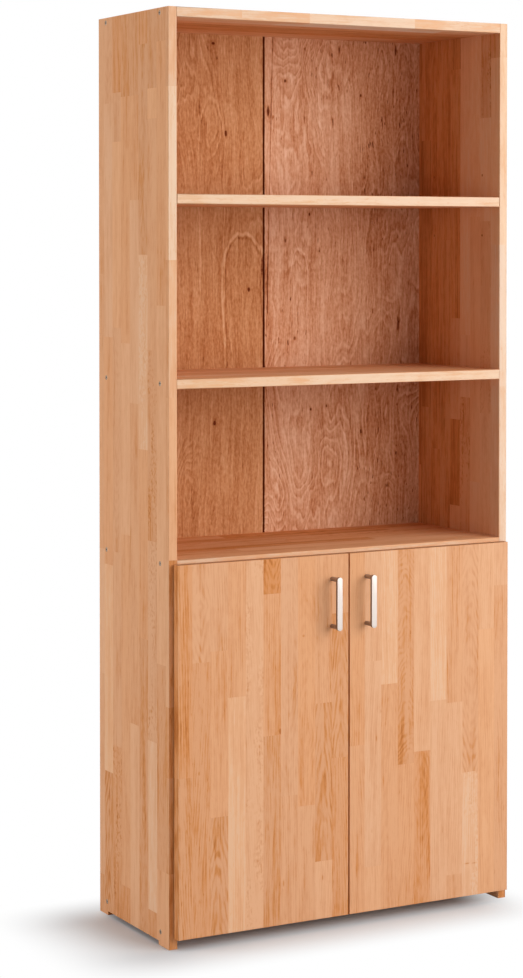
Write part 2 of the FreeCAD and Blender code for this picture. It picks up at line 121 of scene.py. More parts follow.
class Bench:
    """Steps of mesh work that the pieces share. Each acts on one object, with all else deselected."""

    @staticmethod
    def only(piece: Piece) -> None:
        """Makes a piece the active and only selected object.

        Args:
            piece: The piece.
        """
        bpy.ops.object.select_all(action="DESELECT")
        piece.select_set(True)
        bpy.context.view_layer.objects.active = piece

    @staticmethod
    def fix(name: str) -> Piece:
        """Names the new primitive and bakes its place into its mesh.

        Args:
            name: Name of the piece.

        Returns:
            The piece, with its object at the origin.
        """
        piece = bpy.context.active_object
        piece.name = name
        piece.data.name = name
        bpy.ops.object.transform_apply(location=True, rotation=True, scale=True)
        return piece

    @classmethod
    def block(cls, name: str, low: Vector, high: Vector) -> Piece:
        """Adds a block between two corners.

        Args:
            name: Name of the piece.
            low: Lowest corner.
            high: Highest corner.

        Returns:
            The block.
        """
        bpy.ops.object.select_all(action="DESELECT")
        bpy.ops.mesh.primitive_cube_add(size=1.0, location=(low + high) / 2)
        bpy.context.active_object.scale = high - low
        return cls.fix(name)

    @classmethod
    def drum(cls, name: str, radius: float, start: Vector, end: Vector, sides: int,
             end_radius: float | None = None) -> Piece:
        """Adds a round or many-sided bar between two points.

        Args:
            name: Name of the piece.
            radius: Radius at the start.
            start: Middle of the first end.
            end: Middle of the other end.
            sides: Number of sides.
            end_radius: Radius at the other end, or None for a straight bar.

        Returns:
            The bar.
        """
        bpy.ops.object.select_all(action="DESELECT")
        run = end - start
        turn = Vector((0, 0, 1)).rotation_difference(run).to_euler()
        bpy.ops.mesh.primitive_cone_add(vertices=sides, radius1=radius,
                                        radius2=radius if end_radius is None else end_radius,
                                        depth=run.length, location=(start + end) / 2, rotation=turn)
        return cls.fix(name)

    @classmethod
    def pick(cls, piece: Piece, part: Part, test: Test) -> None:
        """Enters edit mode with those parts of a mesh selected that pass a test.

        Args:
            piece: The piece.
            part: Which kind of part is selected.
            test: Takes the part's middle and its direction, which is the normal of a point or face.
        """
        cls.only(piece)
        bpy.ops.object.mode_set(mode="EDIT")
        bpy.ops.mesh.select_mode(type=part.value)
        bpy.ops.mesh.select_all(action="DESELECT")
        bpy.ops.object.mode_set(mode="OBJECT")
        mesh = piece.data
        if part is Part.POINTS:
            for point in mesh.vertices:
                point.select = test(point.co, point.normal)
        elif part is Part.EDGES:
            for edge in mesh.edges:
                a, b = (mesh.vertices[i].co for i in edge.vertices)
                edge.select = test((a + b) / 2, (b - a).normalized())
        else:
            for face in mesh.polygons:
                face.select = test(face.center, face.normal)
        bpy.ops.object.mode_set(mode="EDIT")

    @staticmethod
    def done() -> None:
        """Leaves edit mode."""
        bpy.ops.object.mode_set(mode="OBJECT")

    @classmethod
    def ease(cls, piece: Piece, radius: float, steps: int, test: Test) -> None:
        """Rounds the edges that pass a test.

        Args:
            piece: The piece.
            radius: Radius of the rounding.
            steps: Number of facets across it.
            test: Takes an edge's middle and its unit direction.
        """
        cls.pick(piece, Part.EDGES, test)
        bpy.ops.mesh.bevel(offset=radius, offset_type="OFFSET", segments=steps, profile=0.5,
                           affect="EDGES", clamp_overlap=True)
        cls.done()

    @classmethod
    def divide(cls, piece: Piece, point: Vector, normal: Vector, test: Test) -> None:
        """Divides the faces that pass a test along a plane.

        Args:
            piece: The piece.
            point: A point of the plane.
            normal: The plane's normal.
            test: Takes a face's middle and its normal.
        """
        cls.pick(piece, Part.FACES, test)
        bpy.ops.mesh.bisect(plane_co=point, plane_no=normal, threshold=SLACK)
        cls.done()

    @classmethod
    def cut_away(cls, piece: Piece, cutters: Sequence[Piece]) -> None:
        """Takes the cutters' shapes out of a piece, and removes the cutters.

        Args:
            piece: The piece.
            cutters: Closed shapes that overlap the piece.
        """
        for cutter in cutters:
            cls.only(piece)
            step = piece.modifiers.new("cut", "BOOLEAN")
            step.operation = "DIFFERENCE"
            step.solver = "EXACT"
            step.object = cutter
            bpy.ops.object.modifier_apply(modifier=step.name)
            bpy.data.objects.remove(cutter)

    @classmethod
    def join(cls, pieces: Sequence[Piece], name: str) -> Piece:
        """Joins pieces into one object.

        Args:
            pieces: The pieces, of which the first keeps its object.
            name: Name of the whole.

        Returns:
            The joined object.
        """
        bpy.ops.object.select_all(action="DESELECT")
        for piece in pieces:
            piece.select_set(True)
        bpy.context.view_layer.objects.active = pieces[0]
        bpy.ops.object.join()
        pieces[0].name = name
        pieces[0].data.name = name
        return pieces[0]

    @staticmethod
    def copy(piece: Piece, change: Matrix) -> Piece:
        """Copies a piece with a mesh of its own.

        Args:
            piece: The piece.
            change: Where the copy goes. A mirror image has its faces turned back outwards.

        Returns:
            The copy.
        """
        twin = piece.copy()
        twin.data = piece.data.copy()
        twin.data.transform(change)
        if change.determinant() < 0:
            twin.data.flip_normals()
        bpy.context.scene.collection.objects.link(twin)
        return twin

    @staticmethod
    def smooth_rounded(piece: Piece) -> None:
        """Shades the rounded parts smooth and keeps faces that are square to the bookcase flat."""
        for face in piece.data.polygons:
            face.use_smooth = max(abs(c) for c in face.normal) < 0.9995

    @classmethod
    def smooth_by_angle(cls, piece: Piece, degrees: float) -> None:
        """Shades a piece smooth, apart from edges sharper than the angle."""
        cls.only(piece)
        bpy.ops.object.shade_smooth_by_angle(angle=math.radians(degrees))


# ---------------------------------------------------------------- finishes

Socket = bpy.types.NodeSocket
Value = float | Sequence[float] | Socket
Colour = tuple[float, float, float]
Ramp = tuple[tuple[float, Colour], ...]
WHITE = (1.0, 1.0, 1.0, 1.0)


@dataclass(frozen=True)
class Layer:
    """A layer of soft noise that shades a wood.

    Attributes:
        stretch: Number of its features per metre along each axis.
        size: How far it shades the wood from its palest to its darkest place.
        detail: Number of finer layers within it.
        bent: Whether it follows the bent fibres.
    """

    stretch: tuple[float, float, float]
    size: float
    detail: float = 3.0
    bent: bool = True


@dataclass(frozen=True)
class Knot:
    """A small dark knot: its place across and up the panel, its half width and height, its depth."""

    across: float
    up: float
    half_width: float
    half_height: float
    depth: float = 0.5


class NodeBench:
    """The nodes of a material or of the world, laid down step by step."""

    def __init__(self, owner: bpy.types.Material | bpy.types.World) -> None:
        """Starts without any nodes.

        Args:
            owner: The material or the world.
        """
        owner.use_nodes = True
        self.owner = owner
        self.tree = owner.node_tree
        self.tree.nodes.clear()

    def put(self, socket: Socket, value: Value) -> None:
        """Links a socket to another, or writes a plain value into it.

        Args:
            socket: The socket that is filled.
            value: The other socket, or the plain value.
        """
        if isinstance(value, Socket):
            self.tree.links.new(value, socket)
        else:
            socket.default_value = value

    def put_all(self, node: bpy.types.Node, **inputs: Value) -> bpy.types.Node:
        """Fills a node's sockets by name.

        Args:
            node: The node.
            **inputs: Their values, with underscores for the blanks in their names.

        Returns:
            The node.
        """
        for name, value in inputs.items():
            self.put(node.inputs[name.replace("_", " ")], value)
        return node

    def fill(self, kind: str, *values: Value, **settings: str | bool) -> bpy.types.Node:
        """Adds a node, sets it up and fills its first sockets in their order.

        Args:
            kind: Blender's name of the node.
            *values: Values of the sockets.
            **settings: Values of the node's own settings.

        Returns:
            The node.
        """
        node = self.tree.nodes.new(kind)
        for name, setting in settings.items():
            setattr(node, name, setting)
        for socket, value in zip(node.inputs, values):
            self.put(socket, value)
        return node

    def add(self, kind: str, **inputs: Value) -> bpy.types.Node:
        """Returns a new node whose sockets are filled by name."""
        return self.put_all(self.fill(kind), **inputs)

    def math(self, step: str, a: Value, b: Value = 0.0, clamp: bool = False) -> Socket:
        """Returns the result of a step of arithmetic."""
        return self.fill("ShaderNodeMath", a, b, operation=step, use_clamp=clamp).outputs[0]

    def plus(self, *terms: Value) -> Socket:
        """Returns the sum of numbers."""
        return functools.reduce(functools.partial(self.math, "ADD"), terms)

    def times(self, *factors: Value) -> Socket:
        """Returns the product of numbers."""
        return functools.reduce(functools.partial(self.math, "MULTIPLY"), factors)

    def minus(self, a: Value, b: Value) -> Socket:
        """Returns the difference of two numbers."""
        return self.math("SUBTRACT", a, b)

    def centred(self, fac: Value, size: float) -> Socket:
        """Returns noise moved to lie about nought, times a size."""
        return self.times(self.minus(fac, 0.5), size)

    def vector_math(self, step: str, a: Value, b: Value = (0, 0, 0)) -> Socket:
        """Returns the result of a step of arithmetic on vectors."""
        return self.fill("ShaderNodeVectorMath", a, b, operation=step).outputs[0]

    def length(self, x: Value, z: Value) -> Socket:
        """Returns how far a point across and up a panel is from nought."""
        flat = self.join(x, 0.0, z)
        return self.fill("ShaderNodeVectorMath", flat, operation="LENGTH").outputs["Value"]

    def spread(self, fac: Value, low: float, high: float, to_low: float = 0.0,
               to_high: float = 1.0) -> Socket:
        """Returns a value with the range low to high spread smoothly over another range."""
        return self.fill("ShaderNodeMapRange", fac, low, high, to_low, to_high,
                         interpolation_type="SMOOTHSTEP").outputs[0]

    def noise(self, place: Value, stretch: Sequence[float], detail: float = 2.0) -> Socket:
        """Returns soft noise, stretched by the number of its features per metre along each axis."""
        scaled = self.vector_math("MULTIPLY", place, stretch)
        return self.add("ShaderNodeTexNoise", Vector=scaled, Scale=1.0, Detail=detail).outputs[0]

    def shade(self, start: Value, layers: Sequence[Layer], flow: Value,
              place: Value) -> tuple[Socket, Socket]:
        """Adds layers of noise to a shade.

        Args:
            start: The shade without them.
            layers: The layers, of which the first is the fibre.
            flow: Place along the bent fibres.
            place: Place on the piece.

        Returns:
            The shade with all layers, and the fibre's noise.
        """
        noises = [self.noise(flow if layer.bent else place, layer.stretch, layer.detail)
                  for layer in layers]
        sizes = [self.centred(noise, layer.size) for noise, layer in zip(noises, layers)]
        return self.plus(start, *sizes), noises[0]

    def ramp(self, fac: Value, stops: Ramp) -> Socket:
        """Reads a colour off a ramp.

        Args:
            fac: Where on the ramp.
            stops: Places and colours of its stops.

        Returns:
            The colour.
        """
        node = self.fill("ShaderNodeValToRGB", fac)
        ramp = node.color_ramp
        while len(ramp.elements) > 1:
            ramp.elements.remove(ramp.elements[0])
        ramp.elements[0].position = stops[0][0]
        ramp.elements[0].color = (*stops[0][1], 1.0)
        for place, colour in stops[1:]:
            ramp.elements.new(place).color = (*colour, 1.0)
        return node.outputs[0]

    def mix(self, fac: Value, a: Value, b: Value, blend: str = "MIX") -> Socket:
        """Mixes two colours.

        Args:
            fac: How much of the second colour.
            a: First colour.
            b: Second colour.
            blend: Blender's name of the way in which they are mixed.

        Returns:
            The mixed colour.
        """
        node = self.fill("ShaderNodeMix", fac, data_type="RGBA", blend_type=blend)
        for socket, colour in zip(node.inputs[6:8], (a, b)):
            self.put(socket, (*colour, 1.0) if isinstance(colour, tuple) else colour)
        return node.outputs[2]

    def mix_value(self, fac: Value, a: Value, b: Value) -> Socket:
        """Returns a mix of two numbers, whose sockets come after one that isn't used."""
        return self.fill("ShaderNodeMix", fac, (0.5, 0.5, 0.5), a, b).outputs[0]

    def parts(self, vector: Value) -> tuple[Socket, ...]:
        """Returns the three parts of a vector."""
        return tuple(self.fill("ShaderNodeSeparateXYZ", vector).outputs)

    def join(self, x: Value, y: Value, z: Value) -> Socket:
        """Returns the vector of three parts."""
        return self.fill("ShaderNodeCombineXYZ", x, y, z).outputs[0]

    def place(self) -> Socket:
        """Returns the place on the piece, in metres."""
        return self.fill("ShaderNodeTexCoord").outputs["Object"]

    def attribute(self, name: str) -> bpy.types.Node:
        """Returns the node of a value kept on the mesh."""
        return self.fill("ShaderNodeAttribute", attribute_name=name)

    def around(self, x: Value, z: Value, spot: Knot) -> tuple[Socket, Socket]:
        """Returns the place across and up a panel, in half widths and half heights of a spot on it."""
        return (self.times(self.minus(x, spot.across), 1.0 / spot.half_width),
                self.times(self.minus(z, spot.up), 1.0 / spot.half_height))

    def mixed_shader(self, fac: Value, a: bpy.types.Node, b: bpy.types.Node) -> bpy.types.Node:
        """Returns the mix of two shaders."""
        return self.fill("ShaderNodeMixShader", fac, a.outputs[0], b.outputs[0])

    def seen_directly(self) -> Socket:
        """Tells what the eye sees from what only lights the scene.

        Returns:
            1 for what is seen straight, in metal or through glass, and else 0.
        """
        ray = self.fill("ShaderNodeLightPath")
        seen = self.math("MAXIMUM", ray.outputs["Is Camera Ray"], ray.outputs["Is Glossy Ray"])
        return self.math("MAXIMUM", seen, ray.outputs["Is Transmission Ray"])

    def close(self, kind: str, shader: bpy.types.Node) -> None:
        """Links a shader to a new output node."""
        self.add(kind, Surface=shader.outputs[0])


class SurfaceBench(NodeBench):
    """The nodes of a material with one surface shader."""

    def __init__(self, name: str) -> None:
        """Starts a material with a bare surface shader.

        Args:
            name: Name of the material.
        """
        super().__init__(bpy.data.materials.new(name))
        self.surface = self.fill("ShaderNodeBsdfPrincipled")
        self.close("ShaderNodeOutputMaterial", self.surface)

    def finish(self, **inputs: Value) -> bpy.types.Material:
        """Fills the surface shader's sockets by name and returns the material."""
        self.put_all(self.surface, **inputs)
        return self.owner

    def bump(self, height: Value, depth: float, strength: float) -> Socket:
        """Returns the directions of a surface with relief, from its height and its depth in metres."""
        return self.add("ShaderNodeBump", Height=height, Distance=depth, Strength=strength).outputs[0]


@dataclass(frozen=True)
class OiledBeech:
    """Oiled solid beech. Each face tells the material which stave it belongs to.

    Attributes:
        marks: The small dark knots on the fronts.
        marked_front: Depth in front of which the marks show.
        tones: Colours of the wood, from pale to dark.
        tints: Two tints, between which each stave has its own.
        end_grain: Colour of the sawn ends.
        layers: The layers of noise in the grain.
        shift: How far each stave's own number moves its grain.
        palest: How far the grain may lighten the wood.
        ring_pitch: Number of growth rings, times the full turn, per metre.
        arch_depth: How much the rings of a plain-sawn stave darken it.
        slant_pitch: Number of lines, times the full turn, per metre of a quartered stave.
        slant_depth: How much the lines of a quartered stave darken it.
        fleck_depth: How much the dashes of a flecked stave darken and lighten it.
    """

    marks: tuple[Knot, ...] = ()
    marked_front: float = -0.154
    tones: Ramp = (
        (0.0, (0.83, 0.60, 0.43)),
        (0.07, (0.825, 0.565, 0.385)),
        (0.13, (0.785, 0.495, 0.31)),
        (0.18, (0.80, 0.465, 0.27)),
        (0.24, (0.795, 0.442, 0.246)),
        (0.37, (0.765, 0.402, 0.214)),
        (0.5, (0.735, 0.371, 0.191)),
        (0.63, (0.694, 0.331, 0.159)),
        (0.78, (0.645, 0.26, 0.086)),
        (1.0, (0.46, 0.152, 0.038)),
    )
    tints: tuple[Colour, Colour] = ((1.01, 0.975, 0.93), (0.99, 1.02, 1.08))
    end_grain: Colour = (0.50, 0.23, 0.105)
    layers: tuple[Layer, ...] = (
        Layer((620, 620, 22), 0.46),
        Layer((230, 230, 7), 0.44),
        Layer((95, 95, 3.5), 0.55),
        Layer((150, 150, 48), 0.32, bent=False),
        Layer((34, 34, 6), 0.50, 2.0, bent=False),
    )
    shift: tuple[float, float, float] = (37.0, 11.0, 53.0)
    palest: float = -0.09
    ring_pitch: float = 780.0
    arch_depth: float = 0.22
    slant_pitch: float = 1150.0
    slant_depth: float = 0.08
    fleck_depth: float = 0.20

    def make(self) -> bpy.types.Material:
        """Builds the material.

        Returns:
            The material, which reads the attributes "grain" and "stave" of a staved board.
        """
        n = SurfaceBench("oiled_beech")
        stave = n.attribute("stave")
        tone, seed, figure = n.fill("ShaderNodeSeparateColor", stave.outputs["Color"]).outputs
        local = n.attribute("grain").outputs["Vector"]
        place = n.vector_math("ADD", local, n.vector_math("MULTIPLY", n.join(seed, seed, seed), self.shift))
        sway = n.minus(n.noise(place, (34, 34, 7)), 0.5)
        flow = n.vector_math("ADD", place, n.join(n.times(sway, 0.006), 0.0, 0.0))

        grain, fibre = n.shade(0.0, self.layers, flow, place)
        grain = n.plus(grain, self._rings(n, local, sway, place, seed, figure),
                       self._ray_flecks(n, place, figure))
        grain = n.times(n.math("MAXIMUM", grain, self.palest), n.spread(tone, 0.05, 0.28, 0.4, 1.0))
        flecks = n.spread(n.noise(flow, (800, 800, 95), 1), 0.62, 0.74)
        dashes = n.spread(n.noise(flow, (330, 330, 42), 1), 0.70, 0.76)
        grain = n.plus(grain, n.times(flecks, 0.10), n.times(dashes, 0.14), self._marks(n))
        tint = n.mix(n.math("FRACT", n.times(seed, 7.3)), *self.tints)
        shade = n.math("ADD", tone, grain, clamp=True)
        colour = n.mix(1.0, n.ramp(shade, self.tones), tint, blend="MULTIPLY")

        speckle = n.spread(n.noise(place, (650, 650, 30), 3), 0.35, 0.7)
        sawn = n.mix(speckle, *(tuple(share * c for c in self.end_grain) for share in (0.78, 1.25)))
        return n.finish(
            Base_Color=n.mix(stave.outputs["Alpha"], colour, sawn),
            Roughness=n.spread(fibre, 0.3, 0.7, 0.52, 0.66),
            Specular_IOR_Level=0.04,
            Normal=n.bump(n.minus(fibre, n.times(flecks, 0.6)), 0.00025, 0.2),
        )

    def _rings(self, n: SurfaceBench, local: Value, sway: Value, place: Value, seed: Value,
               figure: Value) -> Socket:
        """Growth rings: nested arches on a plain-sawn stave, slanting lines on a quartered one.

        Args:
            n: The material's nodes.
            local: Place in the stave, from its middle and its lower end.
            sway: Small waves of the fibres.
            place: Place in the stave, moved by the stave's own amount.
            seed: The stave's own number.
            figure: How plain-sawn the stave is.

        Returns:
            How much the rings darken the wood.
        """
        across, deep, along = n.parts(local)
        sweep = n.minus(n.noise(place, (6, 6, 2.2), 1), 0.5)
        waved = n.times(n.math("GREATER_THAN", figure, 1.2), n.math("LESS_THAN", figure, 1.5))
        pitch = n.plus(0.12, n.times(seed, 0.28), n.times(waved, 0.34))
        heart = n.minus(n.times(seed, 0.7), 0.15)
        x = n.plus(across, n.times(sweep, 0.03))
        z = n.times(n.minus(along, heart), pitch)
        bow = n.math("SQRT", n.plus(n.times(x, x), 0.00005))
        bow = n.times(bow, n.minus(1.0, n.times(waved, 0.45)))
        bend = n.centred(n.noise(place, (26, 26, 22), 1), 0.030)
        radius = n.plus(bow, n.math("ABSOLUTE", z), n.times(deep, 0.3), n.times(sway, 0.026),
                        n.times(bend, waved))
        wave = n.spread(n.math("SINE", n.times(radius, self.ring_pitch)), -1, 1)
        strength = n.spread(n.noise(place, (30, 30, 7), 1), 0.35, 0.65, 0.35, 1.0)
        patches = n.spread(n.noise(place, (24, 24, 14), 1), 0.36, 0.62, 0.25, 0.85)
        arches = n.times(n.minus(n.math("POWER", wave, 1.6), 0.4), self.arch_depth, strength,
                         n.mix_value(waved, 1.0, patches))
        plain = n.times(n.spread(figure, 0.0, 1.0), n.math("LESS_THAN", figure, 1.5))
        slant = n.times(n.minus(seed, 0.5), 0.16)
        straight = n.times(n.plus(across, n.times(along, slant)), self.slant_pitch)
        straight = n.math("SINE", n.plus(straight, n.times(sway, 12.0), n.times(seed, 40)))
        straight = n.times(straight, n.times(strength, self.slant_depth))
        return n.plus(n.times(arches, plain), n.times(straight, n.minus(1.1, plain)))

    def _marks(self, n: SurfaceBench) -> Socket:
        """Draws the small dark knots on the fronts.

        Args:
            n: The material's nodes.

        Returns:
            How much they darken the wood.
        """
        x, y, z = n.parts(n.place())
        total: Value = 0.0
        for mark in self.marks:
            total = n.plus(total, n.spread(n.length(*n.around(x, z, mark)), 0.4, 1.5, mark.depth, 0.0))
        return n.times(total, n.math("LESS_THAN", y, self.marked_front))

    def _ray_flecks(self, n: SurfaceBench, place: Value, figure: Value) -> Socket:
        """Makes the short dashes of a flecked stave, dark and pale ones side by side.

        Args:
            n: The material's nodes.
            place: Place in the stave, moved by the stave's own amount.
            figure: How the stave was sawn.

        Returns:
            How much the dashes darken the wood, below nought where they lighten it.
        """
        dots = n.noise(place, (230, 230, 130), 1)
        patches = n.spread(n.noise(place, (30, 30, 9), 1), 0.42, 0.6)
        flecked = n.math("GREATER_THAN", figure, 1.5)
        dashes = n.minus(n.spread(dots, 0.52, 0.66), n.spread(dots, 0.34, 0.48, 1.0, 0.0))
        return n.times(n.times(dashes, self.fleck_depth), n.times(flecked, patches))


@dataclass(frozen=True)
class RotaryPlywood:
    """Lacquered plywood, whose peeled face veneer shows wandering fibres, veins and small knots.

    Attributes:
        name: Name of the finish.
        tones: Colours of the face veneer, from pale to dark.
        shift: Which part of the veneer the leaf shows.
        faces: Depths at which the two face veneers lie.
        pores: How dark the short open pores are.
        knots: Its small knots.
        flames: Its tall arches, each with the place of its shoulders, its half width and its rise.
        crack: Lower and upper end of a slanting hairline crack, each across and up the panel.
        shade_towards_side: Between which places across the panel the veneer turns from paler to darker, as
            painted shade towards the side panel.
        seam: Middle of the gap between the two leaves.
        shaded_core: Colour of the core between the face veneers, partly its own colour and partly painted
            shade for the seam gap.
        layers: The layers of noise in the veneer.
        middling: Shade of the veneer without the layers.
        ring_pitch: Number of growth rings, times the full turn, that the veneer wanders through.
        vein: How much the pale veins lighten the veneer.
        furrow: How much the dark furrows darken it.
    """

    name: str
    tones: Ramp
    shift: tuple[float, float, float]
    faces: tuple[float, float]
    pores: float
    knots: tuple[Knot, ...]
    flames: tuple[Knot, ...]
    crack: tuple[tuple[float, float], tuple[float, float]] | None = None
    shade_towards_side: tuple[float, float] | None = None
    seam: float = -14 * MM
    # The core colour is partly the plies' own colour and partly painted shade, made very dark for the seam
    # gap.
    shaded_core: Colour = (0.10, 0.012, 0.001)
    layers: tuple[Layer, ...] = (
        Layer((640, 640, 45), 0.66),
        Layer((240, 240, 9), 0.55),
        Layer((75, 75, 4.5), 0.42),
        Layer((210, 210, 120), 0.55, bent=False),
        Layer((13, 13, 5), 0.48),
    )
    middling: float = 0.54
    ring_pitch: float = 215.0
    vein: float = 0.155
    furrow: float = 0.10

    def make(self) -> bpy.types.Material:
        """Builds the material.

        Returns:
            The material, which reads the place on the piece.
        """
        n = SurfaceBench(self.name)
        where = n.place()
        x, depth, z = n.parts(where)
        place = n.vector_math("ADD", where, self.shift)
        drift = n.minus(n.noise(place, (6, 6, 1.6)), 0.5)
        curl = n.minus(n.noise(place, (42, 42, 12)), 0.5)
        bend = n.plus(n.times(drift, 0.09), n.times(curl, 0.009))
        flow = n.vector_math("ADD", place, n.join(bend, 0.0, 0.0))
        shade, fibre = n.shade(self.middling, self.layers, flow, place)
        dashes = n.spread(n.noise(flow, (250, 250, 50), 1), 0.68, 0.75)
        pores = n.times(dashes, n.spread(n.noise(place, (9, 9, 5), 1), 0.42, 0.62, 0.15, 1.0))
        shade = n.plus(shade, self._rings(n, flow, curl), n.times(pores, self.pores),
                       self._lines(n, x, z, curl))
        for knot in self.knots:
            shade = n.plus(shade, self._knot(n, x, z, curl, knot))
        for flame in self.flames:
            shade = n.plus(shade, self._flame(n, x, z, curl, flame))
        # Painted shade: the veneer is made paler away from the side panel and darker towards it.
        if self.shade_towards_side:
            shade = n.plus(shade, n.spread(x, *self.shade_towards_side, -0.07, 0.02))
        shade = n.math("MAXIMUM", n.math("MINIMUM", shade, 1.0), 0.0)
        return n.finish(
            Base_Color=n.mix(self._inside(n, depth), n.ramp(shade, self.tones), self.shaded_core),
            Roughness=n.spread(fibre, 0.3, 0.7, 0.52, 0.66),
            Specular_IOR_Level=0.05,
            Normal=n.bump(n.minus(fibre, n.times(pores, 0.5)), 0.0003, 0.22),
        )

    def _rings(self, n: SurfaceBench, flow: Value, curl: Value) -> Socket:
        """Contour lines of the peeled growth rings: pale veins, each with a dark furrow beside it.

        Args:
            n: The material's nodes.
            flow: Place along the bent fibres.
            curl: Small waves of the fibres.

        Returns:
            How much the lines darken the veneer, below nought where they lighten it.
        """
        height = n.plus(n.times(n.noise(flow, (6, 6, 2.0)), self.ring_pitch), n.times(curl, 15.0))
        strong = n.spread(n.noise(flow, (8, 8, 3.5), 1), 0.36, 0.58, 0.15, 1.0)
        pale = n.math("POWER", n.spread(n.math("SINE", height), -1, 1), 8.0)
        dark = n.math("POWER", n.spread(n.math("SINE", n.plus(height, 1.6)), -1, 1), 7.0)
        return n.times(n.minus(n.times(dark, self.furrow), n.times(pale, self.vein)), strong)

    def _lines(self, n: SurfaceBench, x: Value, z: Value, curl: Value) -> Socket:
        """Draws painted shade along both edges of the seam gap, and the slanting crack.

        Args:
            n: The material's nodes.
            x: Place across the panel.
            z: Place up the panel.
            curl: Small waves of the fibres.

        Returns:
            How much they darken the veneer.
        """
        # Painted shade: a dark band on the veneer within about a millimetre of each side of the seam gap,
        # where the gap casts shade.
        total = n.spread(n.math("ABSOLUTE", n.minus(x, self.seam)), 2.2 * MM, 3.0 * MM, 0.6, 0.0)
        if self.crack:
            (foot, bottom), (head, top) = self.crack
            slope = (head - foot) / (top - bottom)
            line = n.plus(n.times(n.minus(z, bottom), slope), foot, n.times(curl, 0.003))
            crack = n.spread(n.math("ABSOLUTE", n.minus(x, line)), 0.7 * MM, 1.8 * MM, 0.34, 0.0)
            total = n.plus(total, n.times(crack, n.spread(z, bottom, bottom + 0.05)))
        return total

    def _inside(self, n: SurfaceBench, depth: Value) -> Socket:
        """Returns 1 between the face veneers, where the core, darkened as painted shade, shows at edges and
        laps.
        """
        front, rear = self.faces
        return n.times(n.spread(depth, front + 0.2 * MM, front + 0.5 * MM),
                       n.spread(depth, rear - 0.5 * MM, rear - 0.2 * MM, 1.0, 0.0))

    @staticmethod
    def _knot(n: SurfaceBench, x: Value, z: Value, curl: Value, knot: Knot) -> Socket:
        """Returns how much a knot darkens the veneer, with a dark heart and a soft ring."""
        far = n.plus(n.length(*n.around(x, z, knot)), n.times(curl, 1.2))
        return n.plus(n.spread(far, 0.4, 1.3, knot.depth, 0.0), n.spread(far, 0.9, 3.0, 0.10, 0.0))

    @staticmethod
    def _flame(n: SurfaceBench, x: Value, z: Value, curl: Value, flame: Knot) -> Socket:
        """Draws a pale arch on two long legs, with a dark furrow inside it.

        Args:
            n: The material's nodes.
            x: Place across the panel.
            z: Place up the panel.
            curl: Small waves of the fibres.
            flame: The arch.

        Returns:
            How much it darkens the veneer, below nought where it lightens it.
        """
        aside, above = n.around(x, z, flame)
        far = n.plus(n.length(aside, n.math("MAXIMUM", above, 0.0)), n.times(curl, 0.5))
        ring, furrow = (n.math("ABSOLUTE", n.minus(far, radius)) for radius in (1.0, 0.88))
        lines = n.plus(n.spread(ring, 0.02, 0.09, -flame.depth, 0.0),
                       n.spread(furrow, 0.01, 0.07, 0.5 * flame.depth, 0.0))
        return n.times(lines, n.spread(above, -4.0, -2.5))


@dataclass(frozen=True)
class Metal:
    """A plated or brushed metal with fine scratches, between a bright and a dull colour.

    Attributes:
        name: Name of the finish.
        bright: Colour where the metal is bright.
        dull: Colour where it is dull.
        roughness: Roughness between the scratches.
        dullness: How far the whole surface leans to the dull colour.
        brushed: Number of scratches per metre along each axis.
        shaded_sides: Whether the front face takes the bright colour and its rounded sides the dull one, as
            painted shade on the sides.
        relief: How strongly the scratches show.
    """

    name: str
    bright: Colour
    dull: Colour
    roughness: float
    dullness: float = 0.5
    brushed: tuple[float, float, float] = (900.0, 900.0, 900.0)
    shaded_sides: bool = False
    relief: float = 0.08

    def make(self) -> bpy.types.Material:
        """Builds the material.

        Returns:
            The material, which reads the place on the piece.
        """
        n = SurfaceBench(self.name)
        scratch = n.noise(n.place(), self.brushed, 3)
        dullness: Value = self.dullness
        # Painted shade: the rounded sides, which turn away from the front, get the dull colour and the front
        # face the bright one.
        if self.shaded_sides:
            normal = n.fill("ShaderNodeTexCoord").outputs["Normal"]
            dullness = n.spread(n.math("ABSOLUTE", n.parts(normal)[1]), 0.55, 0.97, 1.0, 0.0)
        fac = n.math("ADD", dullness, n.centred(scratch, 0.3), clamp=True)
        return n.finish(
            Base_Color=n.mix(fac, self.bright, self.dull),
            Metallic=1.0,
            Roughness=n.plus(self.roughness, n.centred(scratch, 0.18)),
            Normal=n.bump(scratch, 0.0001, self.relief),
        )


@dataclass(frozen=True)
class PlainFinish:
    """A finish that wanders between two tints.

    Attributes:
        name: Name of the finish.
        tints: The two tints.
        stretch: Number of its specks per metre along each axis.
        detail: Number of finer layers within them.
        roughness: Lowest and highest roughness.
        relief: How strongly the specks stand out.
        clear: How much light passes through.
        bends: How strongly it bends light.
    """

    name: str
    tints: tuple[Colour, Colour]
    stretch: tuple[float, float, float]
    detail: float
    roughness: tuple[float, float]
    relief: float = 0.0
    clear: float = 0.0
    bends: float = 1.5

    def make(self) -> bpy.types.Material:
        """Builds the material.

        Returns:
            The material, which reads the place on the piece.
        """
        n = SurfaceBench(self.name)
        specks = n.noise(n.place(), self.stretch, self.detail)
        return n.finish(
            Base_Color=n.mix(specks, *self.tints),
            Roughness=n.spread(specks, 0.3, 0.7, *self.roughness),
            Transmission_Weight=self.clear,
            IOR=self.bends,
            Normal=n.bump(specks, 0.0003, self.relief),
        )


# ---------------------------------------------------------------- boards

